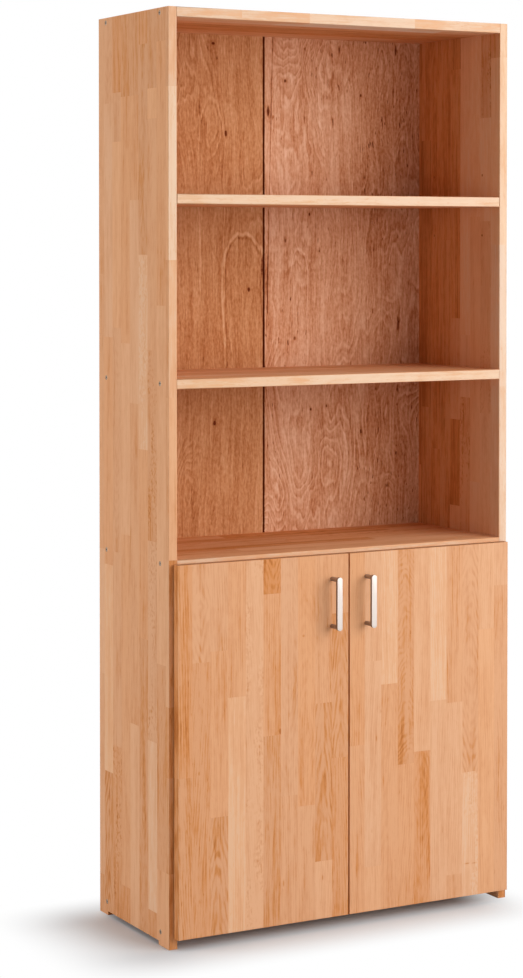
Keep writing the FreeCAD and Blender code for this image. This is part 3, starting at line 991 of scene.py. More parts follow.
@dataclass
class StavedBoard:
    """A board glued up from strips, each of which is a row of staves set end to end.

    Attributes:
        node: The solid that the board stands for.
        body: The body that it moves with.
        finish: Its finish.
        along: Direction of the grain.
        across: Direction in which the strips lie side by side.
        strips: Places of the glue lines between strips, from the board's low edge.
        cuts: For each strip, its staves in order. Strips without any get staves at random.
        edge_tone: Tone of its edges where a stave names none.
        eased: Picks the edges to round, from their middle and direction.
        easing: Radius of the rounded edges.
        palette: Tones of the staves at random.
        cutters: Shapes that are cut out of it.
    """

    node: str
    body: str
    finish: bpy.types.Material
    along: Axis
    across: Axis
    strips: Sequence[float]
    cuts: Sequence[Sequence[Stave]]
    edge_tone: Tone
    eased: Test
    easing: float = 1.5 * MM
    palette: tuple[Tone, ...] = (Tone.PALE, Tone.LIGHT, Tone.MEDIUM, Tone.MEDIUM, Tone.WARM)
    cutters: list[Piece] = field(default_factory=list)

    def __post_init__(self) -> None:
        """Reads the solid's size and fills in the staves that aren't named."""
        self.low, self.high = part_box(self.node)
        self.thick = next(a for a in Axis if a not in (self.along, self.across))
        rng = random.Random(self.node)
        span, width = (self.high[axis.value] - self.low[axis.value] for axis in (self.along, self.across))
        self.lines = [0.0, *self.strips, width]
        self.rows = [named or self._random_staves(rng, span)
                     for named, _ in itertools.zip_longest(self.cuts, self.lines[1:])]
        self.seeds = [[rng.random() for _ in staves] for staves in self.rows]

    def _random_staves(self, rng: random.Random, span: float) -> list[Stave]:
        """Fills a strip with staves of random length, tone and figure.

        Args:
            rng: Where the random numbers come from.
            span: Length of the strip.

        Returns:
            The staves in order.
        """
        figures = [Figure.QUARTER, Figure.QUARTER, Figure.RIFT, Figure.CATHEDRAL]
        staves, place = [], rng.uniform(0.08, 0.45)
        while True:
            staves.append(Stave(min(place, span), rng.choice(self.palette), rng.choice(figures)))
            if place >= span:
                return staves
            place += rng.uniform(0.18, 0.55)

    def build(self) -> Piece:
        """Makes the board and dresses it.

        Returns:
            The finished board.
        """
        board = Bench.block(self.node + "_board", self.low, self.high)
        Bench.ease(board, self.easing, 3, self.eased)
        Bench.cut_away(board, self.cutters)
        self._saw(board)
        self._mark(board)
        Bench.smooth_rounded(board)
        board.data.materials.append(self.finish)
        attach(board, self.body)
        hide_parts(self.node)
        log.info("board %s: %d strips, %d staves", self.node, len(self.rows), sum(map(len, self.rows)))
        return board

    def _saw(self, board: Piece) -> None:
        """Divides the board's faces along its glue lines and at the ends of its staves.

        Args:
            board: The board.
        """
        a, g = self.across.value, self.along.value
        for line in self.lines[1:-1]:
            Bench.divide(board, self.low + self.across.vector() * line, self.across.vector(),
                         lambda middle, normal: True)
        for staves, start, stop in zip(self.rows, self.lines, self.lines[1:]):
            low, high = self.low[a] + start - SLACK, self.low[a] + stop + SLACK
            for stave in staves[:-1]:
                Bench.divide(board, self.low + self.along.vector() * stave.end, self.along.vector(),
                             lambda middle, normal: low < middle[a] < high and abs(normal[g]) < STRAIGHT)

    def _mark(self, board: Piece) -> None:
        """Writes on each face its stave's tone, number and figure, and each corner's place in it.

        Args:
            board: The board.
        """
        a, g, t = self.across.value, self.along.value, self.thick.value
        mesh = board.data
        stave_of = mesh.attributes.new("stave", "FLOAT_COLOR", "FACE")
        grain = mesh.attributes.new("grain", "FLOAT_VECTOR", "CORNER")
        near, far = self.low[a] + self.easing * 1.2, self.high[a] - self.easing * 1.2
        for face in mesh.polygons:
            side, height = face.center[a] - self.low[a], face.center[g] - self.low[g]
            strip = max(i for i, line in enumerate(self.lines[:-1]) if side >= line - SLACK)
            staves = self.rows[strip]
            index = next((i for i, s in enumerate(staves) if height <= s.end + SLACK), len(staves) - 1)
            stave, start = staves[index], staves[index - 1].end if index else 0.0
            bored = all(self.low[i] + MM < face.center[i] < self.high[i] - MM for i in range(3))
            is_end = abs(face.normal[g]) > FACING and not bored
            is_edge = abs(face.normal[a]) > FACING and not near < face.center[a] < far
            tone = (stave.edge or self.edge_tone if is_edge else stave.tone).value
            figure = 0.0 if is_edge or bored else stave.figure.value
            stave_of.data[face.index].color = (1.0 if bored else tone, self.seeds[strip][index], figure,
                                               float(is_end))
            middle = self.low[a] + (self.lines[strip] + self.lines[strip + 1]) / 2
            for corner in face.loop_indices:
                co = mesh.vertices[mesh.loops[corner].vertex_index].co
                aside, along = co[a] - middle, co[g] - self.low[g] - start
                grain.data[corner].vector = (aside, co[t] - self.low[t], along)


def even_lines(width: float, pitch: float, first: float) -> list[float]:
    """Places glue lines at even distances.

    Args:
        width: Width of the board.
        pitch: Width of a strip.
        first: Width of the first strip.

    Returns:
        The places of the lines, without one in the last 4 mm.
    """
    lines, place = [], first
    while place < width - 4 * MM:
        lines.append(place)
        place += pitch
    return lines


E, K, P, L = Tone.EDGE, Tone.CREAM, Tone.PALE, Tone.LIGHT
M, W, B, D = Tone.MEDIUM, Tone.WARM, Tone.BROWN, Tone.DARK
Q, R, C, V, F = Figure.QUARTER, Figure.RIFT, Figure.CATHEDRAL, Figure.WAVED, Figure.FLECKED


def row(*staves: tuple) -> list[Stave]:
    """Returns the staves of a strip from (end in mm, tone, figure, tone of the edge) entries."""
    return [Stave(entry[0] * MM, *entry[1:]) for entry in staves]


@dataclass
class Sides:
    """The two side panels, bored for the connecting screws and the shelf pins.

    Attributes:
        finish: Finish of both.
        rebate: Width and depth of the rebate for the back.
        rebate_start: Height at which the rebate starts.
        feet: Length of the front foot and of the rear one.
        foot_height: Height of the notch between the feet.
        screw_hole: Radius and depth of the hole that a screw's head shows in.
        pin_hole: Radius and depth of a hole for a shelf pin.
        lead: How far outside the side the cutter of a hole starts.
        pin_places: Depth and height of those holes, from the side's lowest corner.
    """

    finish: bpy.types.Material
    rebate: tuple[float, float] = (10 * MM, 6 * MM)
    rebate_start: float = 17 * MM
    feet: tuple[float, float] = (46 * MM, 40 * MM)
    foot_height: float = 8 * MM
    screw_hole: tuple[float, float] = (4.98 * MM, 3.6 * MM)
    pin_hole: tuple[float, float] = (2.5 * MM, 10 * MM)
    lead: float = 4 * MM
    pin_places: tuple[tuple[float, float], ...] = tuple(itertools.product(
        (66 * MM, 254 * MM), (330 * MM, 394 * MM, 458 * MM, 1410 * MM, 1474 * MM, 1538 * MM)))

    def left_cuts(self) -> list[list[Stave]]:
        """Returns the staves of the left side, strip by strip from the front edge."""
        return [
            # The front edge is BROWN up to the height of the door's top as painted shade cast by the door;
            # above that the edge tones are the wood's own.
            row((150, L, Q, B), (340, W, Q, B), (480, W, Q, B), (770, L, Q, B), (1090, M, Q, L),
                (1360, W, Q, P), (1700, L, Q, E), (1856, M, Q, P)),
            row((150, M), (560, W, R), (1270, L), (1790, M), (1856, W)),
            row((60, W), (400, P), (800, M, F), (1180, W, F), (1640, M, R), (1700, L), (1856, W)),
            row((600, W, R), (980, M), (1370, P, F), (1790, W, R), (1856, W)),
            row((420, L), (1070, M), (1480, L), (1690, M), (1856, W)),
            row((80, W), (800, M), (1190, L), (1690, M), (1856, W)),
            row((360, W, F), (760, M), (1220, M, R), (1600, L), (1700, M), (1856, W)),
            row((300, W, C), (730, P), (1200, M), (1680, L), (1856, M, R)),
            row((80, W), (500, M), (760, L), (1330, M), (1856, M)),
        ]

    def right_cuts(self) -> list[list[Stave]]:
        """Returns the staves of the right side, strip by strip from the front edge."""
        return [
            # The front edge is BROWN up to 620 mm as painted shade on the foot under the door.
            row((620, L, Q, B), (1090, P, Q, E), (1390, P, Q, E), (1785, P, Q, E), (1856, W, Q, E)),
            row((480, L), (1030, L, R), (1440, M, F), (1660, P), (1856, W, F)),
            row((300, M), (880, L), (1450, L), (1856, P, R)),
            row((520, M), (1060, W, F), (1195, L), (1700, P), (1856, L)),
            # The rear strips are BROWN and DARK, partly their own tone and partly painted shade deeper
            # inside the case.
            row((460, M), (822, M), (1010, D), (1230, W), (1770, B), (1856, D)),
            row((700, M, R), (1400, B), (1856, B)),
            row((240, L), (940, B), (1500, B), (1856, B, R)),
            row((620, W), (1030, B), (1620, D), (1856, B)),
            row((900, B), (1500, D, R), (1856, D)),
        ]

    def build(self) -> list[Piece]:
        """Makes both sides.

        Returns:
            The two boards.
        """
        return [self._side("left_side_panel", -1, self.left_cuts(), 41 * MM, 11 * MM),
                self._side("right_side_panel", 1, self.right_cuts(), 39 * MM, 33 * MM)]

    def _side(self, name: str, sign: int, cuts: list[list[Stave]], pitch: float, first: float) -> Piece:
        """Makes a side, with its front edges rounded.

        Args:
            name: Name of the solid that it stands for.
            sign: -1 for the left side, 1 for the right one.
            cuts: Its staves.
            pitch: Width of a strip.
            first: Width of the front strip.

        Returns:
            The board.
        """
        low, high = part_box(name)
        middle = (low.y + high.y) / 2
        board = StavedBoard(name, "carcass", self.finish, Axis.HEIGHT, Axis.DEPTH,
                            even_lines(high.y - low.y, pitch, first), cuts, Tone.EDGE,
                            lambda where, run: abs(run.z) > STRAIGHT and where.y < middle)
        board.cutters = self._cutters(sign, low, high)
        return board.build()

    def _cutters(self, sign: int, low: Vector, high: Vector) -> list[Piece]:
        """Makes what is cut out of a side: the notch between its feet, the rebate and the holes.

        Args:
            sign: -1 for the left side, 1 for the right one.
            low: The side's lowest corner.
            high: The side's highest corner.

        Returns:
            The cutters.
        """
        outer, inner = (low.x, high.x) if sign < 0 else (high.x, low.x)
        notch = Bench.block("notch", Vector((low.x - PAST, low.y + self.feet[0], low.z - PAST)),
                            Vector((high.x + PAST, high.y - self.feet[1], low.z + self.foot_height)))
        left, right = sorted((inner + sign * self.rebate[0], inner - sign * PAST))
        rebate = Bench.block("rebate", Vector((left, high.y - self.rebate[1], low.z + self.rebate_start)),
                             Vector((right, high.y + PAST, high.z + PAST)))
        holes = []
        for face, way, (radius, depth), places, sides in (
            (outer, -sign, self.screw_hole, SCREW_PLACES, 32),
            (inner, sign, self.pin_hole, self.pin_places, 24),
        ):
            for y, z in places:
                start = Vector((face - way * self.lead, low.y + y, low.z + z))
                end = Vector((face + way * depth, low.y + y, low.z + z))
                holes.append(Bench.drum("hole", radius, start, end, sides))
        return [notch, rebate, Bench.join(holes, "holes")]


@dataclass
class Shelving:
    """The boards between the sides: bottom, deck, fixed shelf and top, and the two loose shelves."""

    finish: bpy.types.Material
    strip: float = 41 * MM
    pin_rows: tuple[float, float] = (-68.5 * MM, 119.5 * MM)
    pocket_reach: float = 8 * MM
    pocket_half: float = 2.95 * MM
    pocket_height: float = 6.75 * MM

    def boards(self) -> list[StavedBoard]:
        """Returns the six boards, with the staves of the front strips that are named."""
        return [
            self._board("bottom_panel", "carcass", 20),
            # The deck's rear strips are WARM and BROWN, partly their own tone and partly painted shade
            # towards the back of the case.
            self._board("cabinet_deck", "carcass", 17,
                        [row((260, M), (762, L)), row((420, M), (762, M)), row((180, W), (762, L)),
                         row((520, B), (762, M)), row((340, W), (762, W))], (W, B), Tone.CREAM),
            self._board("fixed_shelf", "carcass", 24,
                        [row((300, L, Q, K), (762, L, Q, E))]),
            # Behind its front edge, the top's strips go from pale at the front to BROWN at the back, partly
            # their own tone and partly painted light and shade on its underside.
            self._board("top_panel", "carcass", 31,
                        [row((145, P, Q, K), (300, P, Q, K), (550, E, Q, E), (762, P, Q, K)),
                         row((250, P), (640, E), (762, L)), row((330, M), (762, W)), row((500, B), (762, B)),
                         row((200, B), (762, B)), row((400, B), (762, B))]),
            self._board("upper_shelf", "upper_shelf", 17,
                        [row((330, L, Q, E), (759, M, Q, E))]),
            self._board("cabinet_shelf", "cabinet_shelf", 24),
        ]

    def _board(self, name: str, body: str, first: float, cuts: Sequence[Sequence[Stave]] = (),
               palette: tuple[Tone, ...] = (P, L, M, M, W), edge_tone: Tone = Tone.EDGE) -> StavedBoard:
        """Plans a board whose front edges are rounded.

        Args:
            name: Name of the solid that the board stands for.
            body: Body that the board moves with.
            first: Width of the front strip in millimetres.
            cuts: Staves of the front strips that are named.
            palette: Tones of the other staves.
            edge_tone: Tone of the front edge where a stave names none.

        Returns:
            The board, not yet built.
        """
        low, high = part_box(name)
        lines = even_lines(high.y - low.y, self.strip, first * MM)
        return StavedBoard(name, body, self.finish, Axis.WIDTH, Axis.DEPTH, lines, cuts, edge_tone,
                           lambda where, run: abs(run.x) > STRAIGHT and where.y < low.y + 10 * MM,
                           palette=palette)

    def build(self) -> list[Piece]:
        """Makes the six boards.

        Returns:
            The boards.
        """
        made = []
        for board in self.boards():
            if board.body != "carcass":
                board.cutters = [self._pockets(board.low, board.high)]
            made.append(board.build())
        return made

    def _pockets(self, low: Vector, high: Vector) -> Piece:
        """Makes the four pockets with which a loose shelf sits on its pins.

        Args:
            low: The shelf's lowest corner.
            high: The shelf's highest corner.

        Returns:
            The pockets as one object.
        """
        ends = (low.x - PAST, low.x + self.pocket_reach), (high.x - self.pocket_reach, high.x + PAST)
        return Bench.join([
            Bench.block("pocket", Vector((left, y - self.pocket_half, low.z - PAST)),
                        Vector((right, y + self.pocket_half, low.z + self.pocket_height)))
            for y, (left, right) in itertools.product(self.pin_rows, ends)], "pockets")


@dataclass
class Doors:
    """The two slab doors, bored for the hinge cups."""

    finish: bpy.types.Material
    strip: float = 39.8 * MM
    easing: float = 1.2 * MM
    cup_radius: float = 17.55 * MM
    cup_depth: float = 12.5 * MM
    cup_inset: float = 20.5 * MM
    cup_heights: tuple[float, float] = (100 * MM, 640 * MM)

    def left_cuts(self) -> list[list[Stave]]:
        """Returns the staves of the left door, strip by strip from its hinged edge."""
        return [
            row((320, W), (740, W)),
            row((545, W), (740, M, C)),
            row((235, W, C), (565, M), (740, M)),
            row((470, P), (740, M)),
            row((740, L, F)),
            row((385, W), (670, M), (740, B, C)),
            row((260, M), (740, M, R)),
            row((235, M), (740, M, R)),
            row((118, L), (440, W, C), (740, M)),
            row((325, W), (620, W, C), (740, M)),
        ]

    def right_cuts(self) -> list[list[Stave]]:
        """Returns the staves of the right door, strip by strip from the meeting edge. They are paler on the
        whole than the left door's, partly their own tone and partly painted light where the key lamp falls
        brighter.
        """
        return [
            # The meeting edge is DARK as painted shade in the gap between the doors.
            row((345, M, Q, D), (740, M, Q, D)),
            row((92, L), (515, L), (740, L)),
            row((465, M, R), (740, P)),
            row((295, M), (740, W, V)),
            row((318, W, R), (740, L)),
            row((420, L), (740, P)),
            row((50, M), (412, L), (740, M)),
            row((262, P, F), (740, M, C)),
            row((560, L), (740, L)),
            row((650, M), (740, L)),
        ]

    def build(self) -> list[Piece]:
        """Makes both doors.

        Returns:
            The two boards.
        """
        return [self._door("left", -1, self.left_cuts(), 31.5 * MM),
                self._door("right", 1, self.right_cuts(), 35.5 * MM)]

    def _door(self, side: str, sign: int, cuts: list[list[Stave]], first: float) -> Piece:
        """Makes a door, with all edges of its front rounded.

        Args:
            side: Which door.
            sign: -1 for the left door, 1 for the right one.
            cuts: Its staves.
            first: Width of the first strip.

        Returns:
            The board.
        """
        low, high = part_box(side + "_door_panel")
        # The edges are BROWN, partly their own tone and partly painted shade in the gaps around the doors.
        board = StavedBoard(side + "_door_panel", side + "_door", self.finish, Axis.HEIGHT, Axis.WIDTH,
                            even_lines(high.x - low.x, self.strip, first), cuts, Tone.BROWN,
                            lambda where, run: where.y < low.y + MM, easing=self.easing)
        x = (low.x if sign < 0 else high.x) - sign * self.cup_inset
        board.cutters = [Bench.join([
            Bench.drum("bore", self.cup_radius, Vector((x, high.y - self.cup_depth, low.z + h)),
                       Vector((x, high.y + PAST, low.z + h)), 64) for h in self.cup_heights], "bores")]
        return board.build()


@dataclass
class Handles:
    """A bar handle on each door: a flat bar with round ends on two round posts."""

    bar_finish: bpy.types.Material
    post_finish: bpy.types.Material
    front_round: float = 3.2 * MM
    back_round: float = 0.5 * MM
    foot_round: float = 0.35 * MM
    post_inset: float = 3 * MM
    smooth: float = 40.0

    def build(self) -> list[Piece]:
        """Makes the bars and the posts of both handles.

        Returns:
            The pieces.
        """
        made = []
        for side in ("left", "right"):
            made.append(self._bar(side))
            made += [self._post(side, level) for level in ("upper", "lower")]
        return made

    def _bar(self, side: str) -> Piece:
        """Makes a bar: a disc that is parted in the middle, drawn out and rounded.

        Args:
            side: Which door it is on.

        Returns:
            The bar.
        """
        node = side + "_handle_bar"
        low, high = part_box(node)
        middle, radius = (low + high) / 2, (high.x - low.x) / 2
        half = (high.z - low.z) / 2 - radius
        bar = self._turn(node + "_rounded", low, high, low.y)
        Bench.divide(bar, middle, Axis.HEIGHT.vector(), lambda where, normal: True)
        for way in (-1, 1):
            Bench.pick(bar, Part.POINTS, lambda where, normal: (where.z - middle.z) * way > 0.01 * MM)
            bpy.ops.transform.translate(value=(0, 0, way * half))
            Bench.done()
        for face, rounding, steps in ((low.y, self.front_round, 6), (high.y, self.back_round, 2)):
            Bench.ease(bar, rounding, steps, lambda where, run: abs(where.y - face) < 0.1 * MM
                       and not (abs(run.x) > 0.99 and abs(where.x - middle.x) < radius / 2))
        return self._dress(bar, side, node, self.bar_finish)

    def _post(self, side: str, level: str) -> Piece:
        """Makes a post with a fine rounding at its foot.

        Args:
            side: Which door it is on.
            level: Which of the door's two posts.

        Returns:
            The post.
        """
        node = side + "_handle_" + level + "_post"
        low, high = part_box(node)
        post = self._turn(node + "_turned", low, high, low.y + self.post_inset)
        Bench.ease(post, self.foot_round, 2, lambda where, run: where.y > high.y - 0.1 * MM)
        return self._dress(post, side, node, self.post_finish)

    @staticmethod
    def _turn(name: str, low: Vector, high: Vector, front: float) -> Piece:
        """Adds a round bar that runs back from a depth through the middle of a solid's box."""
        middle = (low + high) / 2
        return Bench.drum(name, (high.x - low.x) / 2, Vector((middle.x, front, middle.z)),
                          Vector((middle.x, high.y, middle.z)), 48)

    def _dress(self, piece: Piece, side: str, node: str, finish: bpy.types.Material) -> Piece:
        """Gives a piece of a handle its finish, its door and the solid that it stands for.

        Args:
            piece: The piece.
            side: Which door it is on.
            node: Name of the solid.
            finish: Its finish.

        Returns:
            The piece.
        """
        Bench.smooth_by_angle(piece, self.smooth)
        piece.data.materials.append(finish)
        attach(piece, side + "_door")
        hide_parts(node)
        log.info("handle piece %s", piece.name)
        return piece


@dataclass
class ConnectingScrews:
    """The screws through the sides, with a countersunk head and a hexagon socket.

    The head and the shank are given by their radii, the socket by its width across the flats.
    """

    finish: bpy.types.Material
    head: float = 4.9 * MM
    rim: float = 0.5 * MM
    head_height: float = 3 * MM
    shank: float = 3.45 * MM
    length: float = 50 * MM
    socket: float = 4 * MM
    sunk: float = 0.2 * MM

    def build(self) -> Piece:
        """Makes one screw and sets copies of it into both sides.

        Returns:
            All screws as one object.
        """
        screw = self._one()
        low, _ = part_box("left_side_panel")
        copies = []
        for y, z in SCREW_PLACES:
            place = Matrix.Translation((low.x + self.sunk, low.y + y, low.z + z))
            copies.append(Bench.copy(screw, place))
            copies.append(Bench.copy(screw, Matrix.Diagonal((-1, 1, 1, 1)) @ place))
        bpy.data.objects.remove(screw)
        whole = Bench.join(copies, "connecting_screws_plated")
        Bench.smooth_by_angle(whole, 30)
        whole.data.materials.append(self.finish)
        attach(whole, "carcass")
        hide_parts("connecting_screws")
        log.info("connecting screws: %d", len(copies))
        return whole

    def _one(self) -> Piece:
        """Makes a screw that points along the width, with its head's face at the origin.

        Returns:
            The screw.
        """
        tip = self.length - self.shank
        head = self._round("screw", self.head, 0.0, self.rim, 40)
        Bench.ease(head, 0.25 * MM, 2, lambda where, run: where.x < 0.01 * MM)
        cone = self._round("cone", self.head, self.rim, self.head_height, 40, self.shank)
        rod = self._round("rod", self.shank, self.head_height, tip, 24)
        point = self._round("point", self.shank, tip, self.length, 24, self.shank / 3)
        key = self._round("key", self.socket / math.sqrt(3), -2 * MM, self.head_height * 0.8, 6)
        Bench.cut_away(head, [Bench.copy(key, Matrix.Identity(4))])
        Bench.cut_away(cone, [key])
        return Bench.join([head, cone, rod, point], "screw")

    @staticmethod
    def _round(name: str, radius: float, start: float, end: float, sides: int,
               end_radius: float | None = None) -> Piece:
        """Adds a bar that points along the width, straight if it has no radius of its own at the end."""
        return Bench.drum(name, radius, Vector((start, 0, 0)), Vector((end, 0, 0)), sides, end_radius)


@dataclass
class CarriedSolids:
    """The solids that are shown as they are, and the finish of each."""

    finishes: dict[str, bpy.types.Material]

    def finish_of(self, node: str) -> bpy.types.Material:
        """Looks up the finish of a solid.

        Args:
            node: Name of the solid.

        Returns:
            Its finish.
        """
        if "screws" in node:
            return self.finishes["zinc"]
        if node.startswith("back_panel_"):
            return self.finishes[node]
        words = {"carcass_dowels": "hardwood", "bumpers": "buffer", "hinge": "nickel"}
        return self.finishes[next((name for word, name in words.items() if word in node), "zinc")]

    def dress(self) -> None:
        """Gives every solid that still shows its finish."""
        for name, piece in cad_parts.items():
            if piece.hide_render:
                continue
            piece.data.materials.clear()
            piece.data.materials.append(self.finish_of(name))
            log.info("solid %s: %s", name, piece.data.materials[0].name)


# ---------------------------------------------------------------- studio

@dataclass(frozen=True)
class Lamp:
    """A square softbox: its place, the point that it faces, its width in metres and its watts."""

    name: str
    place: tuple[float, float, float]
    aim: tuple[float, float, float]
    size: float
    power: float

    def build(self) -> None:
        """Hangs the lamp."""
        data = bpy.data.lights.new(self.name, "AREA")
        data.shape = "SQUARE"
        data.size = self.size
        data.energy = self.power
        lamp = bpy.data.objects.new(self.name, data)
        lamp.location = self.place
        lamp.rotation_euler = (Vector(self.aim) - Vector(self.place)).to_track_quat("-Z", "Y").to_euler()
        bpy.context.scene.collection.objects.link(lamp)


@dataclass
class Studio:
    """The floor, the lamps and the camera.

    Attributes:
        lens: Focal length in millimetres, on a sensor 36 mm wide.
        eye: Place of the camera.
        yaw: How far it is turned from straight ahead, in degrees.
        pitch: How far it looks down, in degrees.
        shift: How far the view is shifted up.
        fill: Strength of the even light from all around.
        bounce: Colour of the light that the floor throws back.
        shadow: Colour of the floor near the bookcase, a grey that paints shade there on top of the real
            shadows that the lamps cast.
        lamps: The lamps.
    """

    lens: float = 87.97
    eye: tuple[float, float, float] = (-2.4844, -4.3240, 1.3919)
    yaw: float = 28.684
    pitch: float = 1.437
    shift: float = -0.18944
    fill: float = 0.18
    bounce: tuple[float, float, float, float] = (0.62, 0.62, 0.62, 1.0)
    shadow: tuple[float, float, float, float] = (0.76, 0.785, 0.81, 1.0)
    lamps: tuple[Lamp, ...] = (
        Lamp("key_softbox", (2.4, -3.9, 2.4), (0.0, 0.0, 1.0), 3.8, 192.0),
        Lamp("front_softbox", (-2.0, -4.5, 0.9), (0.0, 0.0, 0.9), 3.0, 42.0),
        Lamp("side_softbox", (-4.5, 1.8, 1.1), (-0.4, 0.0, 0.9), 2.0, 104.0),
        Lamp("back_softbox", (1.6, 5.0, 2.2), (0.0, 0.0, 1.0), 3.0, 80.0),
        Lamp("top_softbox", (0.0, -0.4, 5.0), (0.0, -0.2, 0.0), 4.0, 50.0),
    )

    def build(self) -> None:
        """Sets up the floor, the world, the lamps and the camera."""
        self._floor()
        self._world()
        for lamp in self.lamps:
            lamp.build()
        self._camera()
        bpy.context.scene.view_settings.view_transform = "Standard"

    def _floor(self) -> None:
        """Lays a pale floor with a painted grey shadow zone around the bookcase, lit by the lamps, that
        fades into the white around it.
        """
        bpy.ops.object.select_all(action="DESELECT")
        bpy.ops.mesh.primitive_plane_add(size=60.0, location=(0, 0, -0.5 * MM))
        floor = Bench.fix("floor")
        n = NodeBench(bpy.data.materials.new("pale_floor"))
        bounce, shadow = (n.add("ShaderNodeBsdfDiffuse", Color=c) for c in (self.bounce, self.shadow))
        white = n.add("ShaderNodeEmission", Color=WHITE, Strength=1.0)
        x, y, _ = n.parts(n.place())
        # Painted shadow: a zone around the bookcase, reaching further to the left and front, where the floor
        # shows grey and lit instead of white.
        near = n.times(n.spread(x, -0.66, -0.42), n.spread(x, 0.28, 0.46, 1.0, 0.0),
                       n.spread(y, -0.32, -0.13), n.spread(y, 0.10, 0.30, 1.0, 0.0))
        shown = n.mixed_shader(n.minus(1.0, near), shadow, white)
        n.close("ShaderNodeOutputMaterial", n.mixed_shader(n.seen_directly(), bounce, shown))
        floor.data.materials.append(n.owner)

    def _world(self) -> None:
        """Lights everything softly and shows white where there is nothing."""
        n = NodeBench(bpy.data.worlds.new("studio"))
        bpy.context.scene.world = n.owner
        light, white = (n.add("ShaderNodeBackground", Color=WHITE, Strength=s) for s in (self.fill, 1.0))
        n.close("ShaderNodeOutputWorld", n.mixed_shader(n.seen_directly(), light, white))

    def _camera(self) -> None:
        """Sets up the camera."""
        data = bpy.data.cameras.new("camera")
        data.lens = self.lens
        data.sensor_width = 36.0
        data.shift_y = self.shift
        data.clip_end = 100.0
        camera = bpy.data.objects.new("camera", data)
        yaw, pitch = math.radians(self.yaw), math.radians(self.pitch)
        ahead = Vector((math.sin(yaw) * math.cos(pitch), math.cos(yaw) * math.cos(pitch), -math.sin(pitch)))
        right = Vector((math.cos(yaw), -math.sin(yaw), 0))
        up = right.cross(ahead)
        turn = Matrix((right, up, -ahead)).transposed().to_4x4()
        camera.matrix_world = Matrix.Translation(self.eye) @ turn
        bpy.context.scene.collection.objects.link(camera)
        bpy.context.scene.camera = camera


# ---------------------------------------------------------------- the bookcase

DOOR_MARKS = (
    Knot(-0.161, 0.414, 0.0022, 0.0055, 0.42), Knot(-0.153, 0.106, 0.0018, 0.007, 0.34),
    Knot(-0.062, 0.106, 0.0018, 0.006, 0.34), Knot(-0.344, 0.348, 0.0018, 0.004, 0.25),
    Knot(-0.107, 0.602, 0.0028, 0.0028, 0.30), Knot(-0.211, 0.234, 0.0016, 0.004, 0.22),
    Knot(0.2885, 0.091, 0.006, 0.0016, 0.45), Knot(0.3055, 0.090, 0.005, 0.0014, 0.35),
    Knot(0.0755, 0.432, 0.002, 0.004, 0.25), Knot(0.0655, 0.377, 0.0016, 0.0055, 0.28),
    Knot(0.0545, 0.187, 0.0018, 0.004, 0.22),
)
LEFT_KNOTS = (
    Knot(-0.106, 1.627, 0.0032, 0.006, 0.6), Knot(-0.136, 1.817, 0.005, 0.004),
    Knot(-0.127, 1.787, 0.0018, 0.006, 0.35), Knot(-0.05, 1.294, 0.003, 0.005),
    Knot(-0.133, 1.010, 0.003, 0.005),
)
RIGHT_KNOTS = (
    Knot(-0.003, 1.676, 0.0036, 0.014, 0.7), Knot(0.039, 1.743, 0.0035, 0.0045),
    Knot(0.229, 1.717, 0.0025, 0.0045), Knot(0.099, 1.456, 0.0025, 0.004),
    Knot(0.124, 1.376, 0.0025, 0.004), Knot(0.039, 1.398, 0.002, 0.005),
    Knot(0.103, 1.032, 0.0025, 0.0035), Knot(0.142, 1.038, 0.002, 0.004),
    Knot(0.230, 0.979, 0.0025, 0.005), Knot(0.174, 1.815, 0.0022, 0.009, 0.4),
    Knot(0.158, 1.657, 0.0018, 0.012, 0.4), Knot(0.087, 1.660, 0.0016, 0.008, 0.35),
    Knot(0.319, 1.818, 0.002, 0.010, 0.35), Knot(0.106, 1.546, 0.0018, 0.006, 0.35),
    Knot(0.326, 1.215, 0.0018, 0.017, 0.45), Knot(0.058, 1.454, 0.0015, 0.009, 0.35),
    Knot(0.063, 1.187, 0.003, 0.004, 0.4), Knot(0.260, 1.244, 0.002, 0.006, 0.3),
)
LEFT_FLAMES = (Knot(-0.062, 1.345, 0.050, 0.070, 0.28), Knot(-0.140, 1.60, 0.030, 0.10, 0.14))
RIGHT_FLAMES = (Knot(0.074, 1.330, 0.020, 0.055, 0.20),)


def leaf_faces(side: str) -> tuple[float, float]:
    """Returns the depths of the front and the rear face of a leaf of the back."""
    low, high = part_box("back_panel_" + side)
    return low.y, high.y


def left_leaf() -> RotaryPlywood:
    """Returns the finish of the back's left leaf, which is orange brown."""
    tones = ((0.0, (0.76, 0.44, 0.265)), (0.3, (0.64, 0.318, 0.158)), (0.5, (0.55, 0.241, 0.102)),
             (0.75, (0.41, 0.142, 0.048)), (1.0, (0.14, 0.022, 0.005)))
    return RotaryPlywood("plywood_left_leaf", tones, (3.1, 0.0, 1.7), leaf_faces("left"), 0.14,
                         LEFT_KNOTS, LEFT_FLAMES)


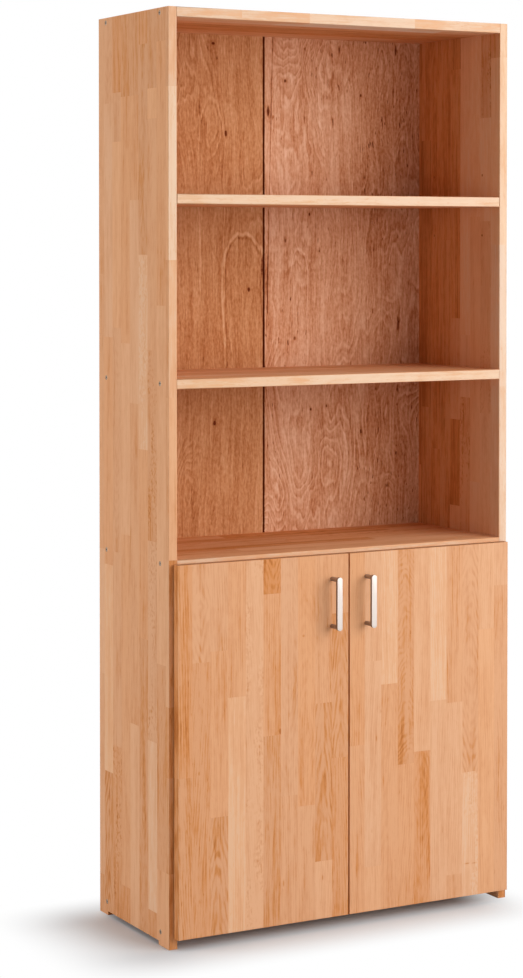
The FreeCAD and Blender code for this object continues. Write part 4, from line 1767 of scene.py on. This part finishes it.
def right_leaf() -> RotaryPlywood:
    """Returns the finish of the back's right leaf, which is rosier."""
    tones = ((0.0, (0.82, 0.52, 0.36)), (0.3, (0.718, 0.395, 0.248)), (0.5, (0.62, 0.29, 0.154)),
             (0.75, (0.455, 0.158, 0.062)), (1.0, (0.14, 0.026, 0.008)))
    # The last pair sets where the painted shade towards the right side panel falls.
    return RotaryPlywood("plywood_right_leaf", tones, (0.4, 0.0, 0.3), leaf_faces("right"), 0.40,
                         RIGHT_KNOTS, RIGHT_FLAMES, ((-8 * MM, 1.17), (8 * MM, 1.84)), (0.10, 0.32))


def main() -> None:
    """Builds the bookcase, its finishes and the studio."""
    logging.basicConfig(level=logging.INFO, format="%(name)s: %(message)s")
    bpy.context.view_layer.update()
    beech = OiledBeech(DOOR_MARKS).make()
    satin = Metal("satin_metal", (0.50, 0.44, 0.405), (0.30, 0.245, 0.21), 0.42,
                  brushed=(300.0, 300.0, 2400.0), shaded_sides=True).make()
    post = Metal("turned_post", (0.80, 0.72, 0.68), (0.33, 0.26, 0.22), 0.45, 0.85).make()
    zinc = Metal("zinc_plate", (0.36, 0.30, 0.235), (0.26, 0.19, 0.135), 0.58, 0.62).make()
    nickel = Metal("nickel_plate", (0.70, 0.68, 0.64), (0.36, 0.33, 0.30), 0.28, 0.4).make()
    hardwood = PlainFinish("turned_hardwood", ((0.62, 0.42, 0.24), (0.80, 0.60, 0.38)),
                           (30.0, 500.0, 500.0), 3.0, (0.6, 0.75), 0.3).make()
    buffer = PlainFinish("clear_buffer", ((0.80, 0.82, 0.80), (0.90, 0.91, 0.89)),
                         (600.0, 600.0, 600.0), 2.0, (0.25, 0.4), clear=0.55, bends=1.46).make()
    Sides(beech).build()
    Shelving(beech).build()
    Doors(beech).build()
    Handles(satin, post).build()
    ConnectingScrews(zinc).build()
    CarriedSolids({
        "back_panel_left": left_leaf().make(), "back_panel_right": right_leaf().make(),
        "hardwood": hardwood, "buffer": buffer, "nickel": nickel, "zinc": zinc,
    }).dress()
    Studio().build()


if __name__ == "__main__":
    main()
